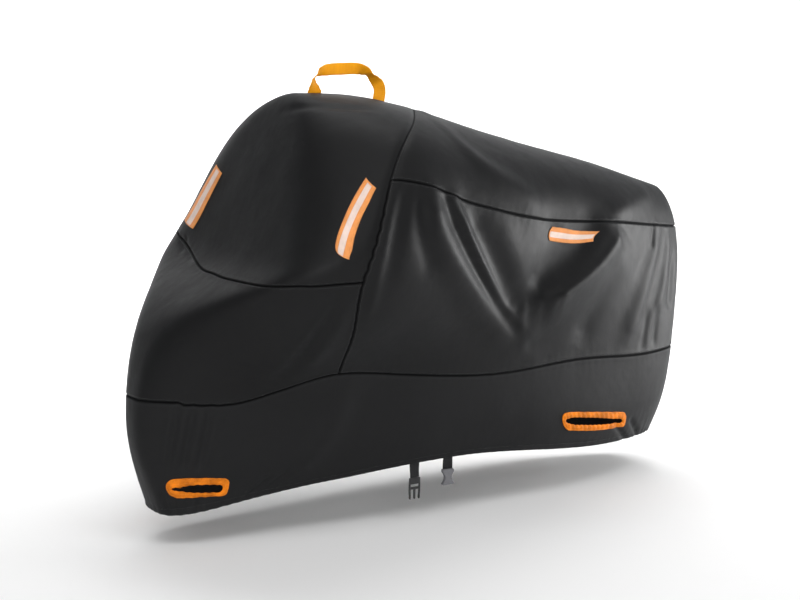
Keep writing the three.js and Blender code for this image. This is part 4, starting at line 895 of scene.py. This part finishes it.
for slot in SLOTS:
    for side in (-1, 1):
        label = "binding_%s_%s" % (slot[0], "left" if side < 0 else "right")
        n_end, n_mid = 14, 60 if slot[0] == "rear" else 34
        outer = worn_outline(slot, obround(slot[5], slot[6], n_end, n_mid), slot[5], slot[6])
        inner = worn_outline(slot, obround(slot[5] - 2 * BINDING_WIDTH, slot[7], n_end, n_mid), slot[5] - 2 * BINDING_WIDTH, slot[7], True)
        N = len(outer)
        run = np.concatenate([[0], np.cumsum(np.linalg.norm(np.diff(outer, axis=0), axis=1))])
        total = run[-1] + np.linalg.norm(outer[0] - outer[-1])
        turns = round(total / 21)
        ph = 2 * np.pi * turns * run / total
        loops = []
        # the section: part from the outer edge (0) to the inner edge (1), and its height; the webbing folds over the inner edge
        section = [(0.0, 1.0), (0.02, 2.0), (0.12, 2.4), (0.24, 2.1), (0.3, 2.5), (0.5, 3.3), (0.72, 3.4), (0.88, 2.7), (0.97, 1.3), (1.0, 0.0), (0.97, -1.4), (0.85, -2.3), (0.5, -2.4), (0.1, -2.2), (0.0, -1.2)]
        for part, h in section:
            q = outer * (1 - part) + inner * part
            wob = 0.9 * np.sin(ph + 1.3 * part) * (0.3 + part) + 0.5 * np.sin(2.3 * ph + 2.0 + 3 * part)
            grow = 1 + 0.012 * np.sin(ph * 0.5 + 1)
            u, v = slot_params(slot, q[:, 0], q[:, 1] * grow + 0.9 * np.sin(ph) * part)
            lift = h * np.where(h > 0, 1 + 0.16 * np.sin(ph * 1.0 + 0.4), 1) + (wob * 0.8 if h > 0 else wob * 0.3)
            base_p = surface_at(u, v, side, 0)
            loops.append(base_p + normals(u, v, side) * (lift + 0.8 * noise3(base_p, 22, 40))[:, None])
        closed_grid(label + "_webbing", loops, "binding", label)
        # two rows of stitches along the ring
        for part, h in ((0.14, 2.55), (0.62, 3.5)):
            q = outer * (1 - part) + inner * part
            u, v = slot_params(slot, q[:, 0], q[:, 1])
            wob = 0.9 * np.sin(ph + 1.3 * part) * (0.3 + part) + 0.5 * np.sin(2.3 * ph + 2.0 + 3 * part)
            base_p = surface_at(u, v, side, 0)
            nn = normals(u, v, side)
            pl = base_p + nn * (h * (1 + 0.16 * np.sin(ph + 0.4)) + wob * 0.8 + 0.8 * noise3(base_p, 22, 40) - 0.2)[:, None]
            stitch_line(np.concatenate([pl, pl[:1]]), np.concatenate([nn, nn[:1]]), "thread_orange", 4.6, 3.0)


# ------------------------------------------------------------------ stitches along the seams
def line_at(g, edge, dist):
    """Places at a distance from an edge of a grid, on the finished cloth."""
    if edge in ("lo", "hi"):
        D = g.up if edge == "lo" else g.up[-1:] - g.up
        P, N = g.P, g.N0
        out, nn = [], []
        for c in range(g.shape[1]):
            d = D[:, c]
            k = np.argsort(d)
            out.append([np.interp(dist, d[k], P[k, c, i]) for i in range(3)])
            nn.append([np.interp(dist, d[k], N[k, c, i]) for i in range(3)])
    else:
        D = g.along if edge == "start" else g.along[:, -1:] - g.along
        out, nn = [], []
        for r in range(g.shape[0]):
            d = D[r]
            k = np.argsort(d)
            out.append([np.interp(dist, d[k], g.P[r, k, i]) for i in range(3)])
            nn.append([np.interp(dist, d[k], g.N0[r, k, i]) for i in range(3)])
    return np.array(out), np.array(nn)


for end in ("left", "right"):
    for key, edge, dist in (
        ("front_" + end, "hi", 7.5), ("front_" + end, "lo", 7.5), ("hood_" + end, "lo", 7.5), ("side_" + end, "lo", 7.5), ("side_" + end, "hi", 7.5),
        ("roof_" + end, "lo", 7.5), ("side_" + end, "start", 7.5), ("front_" + end, "end", 7.5), ("band_f_" + end, "lo", 21.5), ("band_r_" + end, "lo", 21.5),
        ("roof_" + end, "start", 7.0), ("side_" + end, "end", 7.5),
    ):
        pl, nn = line_at(GRIDS[key], edge, dist)
        stitch_line(pl, nn, "thread")
for key, edge in (("band_f_right", "end"), ("band_r_right", "start"), ("band_r_right", "end"), ("band_r_left", "end")):
    pl, nn = line_at(GRIDS[key], edge, 7.5)
    stitch_line(pl, nn, "thread")


# ------------------------------------------------------------------ reflective tapes
def catmull(points, n, at=None):
    """A smooth curve through the points, centripetal, at n + 1 places or at the given parts of the way."""
    pts = [np.array(p, float) for p in points]
    pts = [2 * pts[0] - pts[1]] + pts + [2 * pts[-1] - pts[-2]]
    out = []
    for part in at if at is not None else np.arange(n + 1) / n:
        q = part * (len(points) - 1)
        k = max(min(int(q), len(points) - 2), 0)
        f = q - k
        p0, p1, p2, p3 = pts[k : k + 4]
        d1, d2, d3 = (max(np.linalg.norm(b_ - a_) ** 0.5, 1e-4) for a_, b_ in ((p0, p1), (p1, p2), (p2, p3)))
        m1 = ((p1 - p0) / d1 - (p2 - p0) / (d1 + d2) + (p2 - p1) / d2) * d2
        m2 = ((p2 - p1) / d2 - (p3 - p1) / (d2 + d3) + (p3 - p2) / d3) * d2
        out.append((2 * f**3 - 3 * f**2 + 1) * p1 + (f**3 - 2 * f**2 + f) * m1 + (-2 * f**3 + 3 * f**2) * p2 + (f**3 - f**2) * m2)
    return np.array(out)


def edge_curve(places, t):
    return catmull([(u * 100, v * 100) for u, v in places], 0, t) / 100


def strip(name, side, edge1, edge2, a0, a1, c0, c1, slant, lift, thick, mat, node=None, crown=0.0):
    """A strip between two edges: from a0 to a1 along it, c0 to c1 across it, with slanted ends."""
    nl, nc = 60, 10
    al, ac = np.linspace(0, 1, nl + 1), np.linspace(0, 1, nc + 1)
    A = a0 + (a1 - a0) * al[:, None] + slant * (ac[None, :] - 0.5) * np.where(al[:, None] < 0.5, 1, 1)
    C = np.broadcast_to(c0 + (c1 - c0) * ac, A.shape)
    p, q = edge_curve(edge1, A.ravel()), edge_curve(edge2, A.ravel())
    uv_ = p + (q - p) * C.ravel()[:, None]
    base_p = surface_at(uv_[:, 0], uv_[:, 1], side, 0)
    nn = normals(uv_[:, 0], uv_[:, 1], side)
    P = form(uv_[:, 0], uv_[:, 1], side)
    h = 1.5 * noise3(P, 170, 3) + 0.7 * noise3(P, 85, 4) + 0.22 * noise3(P, 36, 6)
    edge_fall = np.minimum(np.minimum(ac, 1 - ac)[None, :] * (nc / 1.0), 1) * np.ones((nl + 1, 1))
    h = h + lift + crown * edge_fall.ravel()
    out = (base_p + nn * h[:, None]).reshape(nl + 1, nc + 1, 3)
    R, Cn = nl + 1, nc + 1
    i = (np.arange(R - 1)[:, None] * Cn + np.arange(Cn - 1)[None, :]).ravel()
    Q = np.stack([i, i + 1, i + Cn + 1, i + Cn], 1)
    flat = out.reshape(-1, 3)
    face_n = np.cross(flat[Q[0, 1]] - flat[Q[0, 0]], flat[Q[0, 3]] - flat[Q[0, 0]])
    if face_n @ nn[Q[0, 0]] < 0:
        Q = Q[:, ::-1]
    lx = np.concatenate([[0], np.cumsum(np.linalg.norm(np.diff(out[:, 0], axis=0), axis=1))])
    ly = np.concatenate([[0], np.cumsum(np.linalg.norm(np.diff(out[0], axis=0), axis=1))])
    UV = np.stack([np.broadcast_to(lx[:, None], (R, Cn)).ravel(), np.broadcast_to(ly, (R, Cn)).ravel()], 1)
    o = shell(name, flat, Q, thick, UV, Q, np.zeros(len(flat)))
    return give(o, mat, node), out, nn.reshape(R, Cn, 3)


for name, side, e1, e2 in TAPES:
    o, out, nn = strip(name + "_band", side, e1, e2, 0.0, 1.0, 0.0, 1.0, 0.0, 2.0, 1.4, "tape", name, 0.5)
    s, _, _ = strip(name + "_stripe", side, e1, e2, 0.02, 0.98, 0.30, 0.70, 0.0, 2.55, 0.7, "stripe", None, 0.25)
    for c in (1, -2):
        stitch_line(out[:, c] + nn[:, c] * 0.1, nn[:, c], "thread_orange", 4.8, 3.2, 0.7, 0.45)
    for r in (2, -3):
        stitch_line(out[r] + nn[r] * 0.1, nn[r], "thread_orange", 4.8, 3.2, 0.7, 0.45)


# ------------------------------------------------------------------ webbing
def ribbon(name, mid, across, wide, thick, mat, node=None, curl=0.0, ground=None):
    """A flat webbing with soft selvedges along a line of places."""
    mid, across, wide = np.asarray(mid, float), np.asarray(across, float), np.broadcast_to(wide, len(mid))
    tan = np.gradient(mid, axis=0)
    tan /= np.linalg.norm(tan, axis=1)[:, None]
    across = across - (across * tan).sum(1)[:, None] * tan
    across /= np.linalg.norm(across, axis=1)[:, None]
    nrm = np.cross(tan, across)
    profile = []
    n = 12
    for i in range(n + 1):
        x = -1 + 2 * i / n
        profile.append((x, 0.5 * (1 - abs(x) ** 14 * 0.6)))
    for i in range(n, -1, -1):
        x = -1 + 2 * i / n
        profile.append((x, -0.5 * (1 - abs(x) ** 14 * 0.6)))
    loops = []
    for x, y in profile:
        loops.append(mid + across * (x * wide / 2)[:, None] + nrm * (y * thick + curl * (x * x - 0.33)))
        for e in (0, -1) if ground else ():
            loops[-1][e, 2] = ground(loops[-1][e]) - 1.2  # the ends are cut to the slope of what they stand on
    return closed_grid(name, loops, mat, node, closed_ring=False), nrm


H = np.array(HANDLE, float)
line = catmull([(x, 0, z) for x, z, _, _ in HANDLE], 180)
q = np.linspace(0, len(HANDLE) - 1, 181)
k = np.minimum(q.astype(int), len(HANDLE) - 2)
f = smooth(q - k)
turn = np.radians(H[k, 2] + (H[k + 1, 2] - H[k, 2]) * f)
wide = H[k, 3] + (H[k + 1, 3] - H[k, 3]) * f
tan = np.gradient(line, axis=0)
tan /= np.linalg.norm(tan, axis=1)[:, None]
in_plane = np.stack([tan[:, 2], 0 * tan[:, 0], -tan[:, 0]], 1)
across = in_plane * np.cos(turn)[:, None] + np.array([0, 1, 0]) * np.sin(turn)[:, None]
HOOD_TOP = np.vstack([GRIDS["hood_" + e].P.reshape(-1, 3) for e in ("left", "right")])
HOOD_TOP = HOOD_TOP[HOOD_TOP[:, 2] > 1200]


def hood_height(p):
    d = np.hypot(HOOD_TOP[:, 0] - p[0], HOOD_TOP[:, 1] - p[1])
    near = np.argsort(d)[:6]
    w = 1 / (d[near] + 0.5)
    return float((w * HOOD_TOP[near, 2]).sum() / w.sum())


handle, hn = ribbon("handle_webbing", line, across, wide, 2.4, "handle", "handle", 0.6, hood_height)
for off in (-0.42, 0.42):
    for sgn in (1, -1):
        stitch_line(line + across * (wide * off)[:, None] + hn * 1.25 * sgn, hn * sgn, "thread_orange", 5.0, 3.4, 0.7, 0.4)


def ring_place(x, v, side):
    lo, hi = 0.01, 0.99
    for _ in range(30):
        u = (lo + hi) / 2
        if form([u], [v], side)[0, 0] < x:
            lo = u
        else:
            hi = u
    return (lo + hi) / 2


def plate_object(outlines, thick, bevel):
    """A flat plate from outlines in x and z (the first is the edge, the others holes), with rounded edges."""
    cu = bpy.data.curves.new("outline", "CURVE")
    cu.dimensions, cu.fill_mode, cu.extrude, cu.bevel_depth, cu.bevel_resolution = "2D", "BOTH", (thick / 2 - bevel) / 1000, bevel / 1000, 2
    cu.offset = -bevel / 1000
    for pts in outlines:
        sp = cu.splines.new("POLY")
        sp.points.add(len(pts) - 1)
        for i, (x, z) in enumerate(pts):
            sp.points[i].co = (x / 1000, z / 1000, 0, 1)
        sp.use_cyclic_u = True
    tmp = bpy.data.objects.new("outline", cu)
    bpy.context.scene.collection.objects.link(tmp)
    dg_ = bpy.context.evaluated_depsgraph_get()
    mesh = bpy.data.meshes.new_from_object(tmp.evaluated_get(dg_))
    bpy.data.objects.remove(tmp, do_unlink=True)
    bm = bmesh.new()
    bm.from_mesh(mesh)
    bmesh.ops.remove_doubles(bm, verts=bm.verts, dist=1e-6)
    bmesh.ops.recalc_face_normals(bm, faces=bm.faces)
    bm.to_mesh(mesh)
    bm.free()
    mesh.transform(Matrix.Rotation(math.radians(90), 4, "X"))
    return mesh


def rounded(pts, steps_=3, cut=0.22):
    """Corners of an outline rounded a little."""
    pts = [np.array(p, float) for p in pts]
    out = []
    for i, p in enumerate(pts):
        a, b = pts[i - 1], pts[(i + 1) % len(pts)]
        ra, rb = min(cut, 1.6 / max(np.linalg.norm(a - p), 1e-6)), min(cut, 1.6 / max(np.linalg.norm(b - p), 1e-6))
        s, e = p + (a - p) * ra, p + (b - p) * rb
        for k_ in range(steps_ + 1):
            t_ = k_ / steps_
            out.append((1 - t_) ** 2 * s + 2 * t_ * (1 - t_) * p + t_ * t_ * e)
    return [tuple(x) for x in out]


def mirrored(pts):
    return pts + [(-x, z) for x, z in reversed(pts)]


def joined(name, meshes, place, mat, node):
    mesh = bpy.data.meshes.new(name)
    bm = bmesh.new()
    for part in meshes:
        bm.from_mesh(part)
    bm.to_mesh(mesh)
    bm.free()
    mesh.transform(place)
    for p in mesh.polygons:
        p.use_smooth = False
    obj = bpy.data.objects.new(name, mesh)
    bpy.context.scene.collection.objects.link(obj)
    return give(obj, mat, node)


def moved(mesh, x=0, y=0, z=0):
    mesh.transform(Matrix.Translation((x / 1000, y / 1000, z / 1000)))
    return mesh


for i, (name, x, sewn, bottom, yaw, lean) in enumerate(STRAPS):
    inside = -(1 + 1.2 + 1.0)
    places, ac = [], []
    for h in np.linspace(1, 0, 8):
        v = h * sewn / 1000
        u = ring_place(x, v, -1)
        p, n = surface_at([u], [v], -1, inside)[0], normals([u], [v], -1)[0]
        a = np.array([1.0, 0, 0]) - n * n[0]
        places.append(p)
        ac.append(a / np.linalg.norm(a))
    low = places[-1].copy()
    yw, ln = math.radians(yaw), math.tan(math.radians(lean))
    final = np.array([math.cos(yw), math.sin(yw), 0])
    for kk in np.linspace(0.08, 1, 14):
        z = low[2] + (bottom - low[2]) * kk
        places.append(np.array([low[0] + (low[2] - z) * ln, low[1] + 0.8 * math.sin(kk * 3.1), z]))
        w = ac[7] + (final - ac[7]) * min(kk * 1.6, 1)
        ac.append(w / np.linalg.norm(w))
    ribbon(name + "_webbing", places, ac, STRAP_WIDTH, 2.2, "strap", name, 0.3)
    endp = (places[-1] - ORIGIN) / 1000
    place = Matrix.Translation((endp[0], endp[1], endp[2] - 0.0005)) @ Matrix.Rotation(yw, 4, "Z") @ Matrix.Rotation(math.radians(lean), 4, "Y")
    if i == 0:
        outline = rounded(mirrored([(20, 0), (20.5, -20), (21, -38), (20.5, -52), (19, -66), (15.5, -68), (14, -62), (15, -50), (16, -40), (15, -36), (3.2, -36), (2.8, -64), (1.2, -67)]))
        hole = rounded([(-16, -20), (-16, -29), (16, -29), (16, -20)])
        parts = [plate_object([outline, hole], 5.4, 0.9)]
        for zz in (-3.5, -8, -12.5, -17):  # the ladder's ribs
            parts.append(moved(plate_object([rounded([(-18.5, -1.3), (18.5, -1.3), (18.5, 1.3), (-18.5, 1.3)])], 7.0, 0.8), 0, 0, zz))
        for sx in (-1, 1):  # the barbs at the prongs' tips
            parts.append(moved(plate_object([rounded([(-2.6, 0), (2.6, 0), (2.2, -7), (-2.2, -9)])], 6.6, 0.8), sx * 17.2, 0, -56))
        joined("buckle_prongs_plastic", parts, place, "buckle", "buckle_prongs")
    else:
        side_pts = [(17, 0), (19.5, -3), (19, -9), (12, -20), (10.5, -28), (14, -38), (20, -46), (20, -50)]
        face = rounded(mirrored(side_pts))
        parts = [moved(plate_object([face], 3.2, 0.9), 0, -5.3, 0), moved(plate_object([face], 3.2, 0.9), 0, 5.3, 0)]
        top = rounded(mirrored([(16.5, -0.5), (18.5, -4), (18.2, -9), (11, -20.5)]))
        parts.append(plate_object([top], 8.0, 0.4))
        for sx in (-1, 1):
            wall = [(sx * a_, b_) for a_, b_ in [(11.3, -20), (9.9, -28), (13.2, -38), (18.8, -46), (18.8, -49.4), (16.4, -49.4), (11.6, -40), (8.0, -31), (8.0, -22)]]
            parts.append(plate_object([rounded(wall if sx > 0 else wall[::-1])], 8.4, 0.3))
        parts.append(moved(plate_object([rounded([(-15, -1.5), (15, -1.5), (15, 1.5), (-15, 1.5)])], 4.2, 0.8), 0, -5.6, -5.5))
        joined("buckle_socket_plastic", parts, place, "socket", "buckle_socket")

build_stitches("thread", "stitches_black")
build_stitches("thread_orange", "stitches_orange")


# ------------------------------------------------------------------ floor, backdrop and light
S = 14.0
profile = [(-9.0, GROUND)] + [(4.5 + 3.0 * math.sin(a), GROUND + 3.0 * (1 - math.cos(a))) for a in np.linspace(0, math.pi / 2, 25)] + [(7.5, GROUND + 9)]
verts, faces = [], []
view_dir, view_right = Vector((math.sin(_a), math.cos(_a), 0)), right
for d, z in profile:
    for s in (-1, 1):
        p = view_dir * d + view_right * (S * s)
        verts.append((p.x, p.y, z))
for i in range(len(profile) - 1):
    faces.append([2 * i, 2 * i + 1, 2 * i + 3, 2 * i + 2])
mesh = bpy.data.meshes.new("floor")
mesh.from_pydata(verts, [], faces)
floor = finish_mesh("floor", mesh)
fmat = bpy.data.materials.new("floor_pale")
t, b = nodes_of(fmat)
n = add_node(t, "ShaderNodeTexNoise", Scale=0.7, Detail=2.0)
c = add_node(t, "ShaderNodeTexCoord")
t.links.new(c.outputs["Object"], n.inputs["Vector"])
t.links.new(mix_colour(t, n.outputs["Fac"], (0.86, 0.86, 0.86), (0.9, 0.9, 0.9)), b.inputs["Base Color"])
b.inputs["Roughness"].default_value = 0.9
b.inputs["Specular IOR Level"].default_value = 0.2
floor.data.materials.append(fmat)

world = bpy.data.worlds.new("studio")
bpy.context.scene.world = world
world.use_nodes = True
world.node_tree.nodes["Background"].inputs[0].default_value = (1, 1, 1, 1)
world.node_tree.nodes["Background"].inputs[1].default_value = 0.12
bpy.context.scene.view_settings.view_transform = "Standard"


def area_light(name, where, target, size, power, colour=(1, 1, 1), spread=180):
    data = bpy.data.lights.new(name, "AREA")
    data.shape, data.size, data.size_y, data.energy, data.color = "RECTANGLE", size[0], size[1], power, colour
    data.spread = math.radians(spread)
    o = bpy.data.objects.new(name, data)
    o.location = where
    o.rotation_euler = (Vector(target) - Vector(where)).to_track_quat("-Z", "Y").to_euler()
    bpy.context.scene.collection.objects.link(o)
    return o


area_light("key", (4.6, -1.05, -0.65), (0.6, -0.25, -0.7), (1.2, 1.8), 165)
area_light("sweep", (0.8, 4.4, 4.2), (1.2, 4.8, GROUND), (9, 5), 430, spread=100)
area_light("wall", view_dir * 3.2 + Vector((0, 0, 4.6)), view_dir * 7.5 + Vector((0, 0, 1.6)), (12, 2), 130, spread=110)
area_light("front", (-1.2, -3.4, 4.6), (-0.9, -2.6, GROUND), (7, 3), 215)
area_light("face", (-3.0, -5.6, 0.9), (0.2, -0.3, -0.7), (4.5, 3), 225)
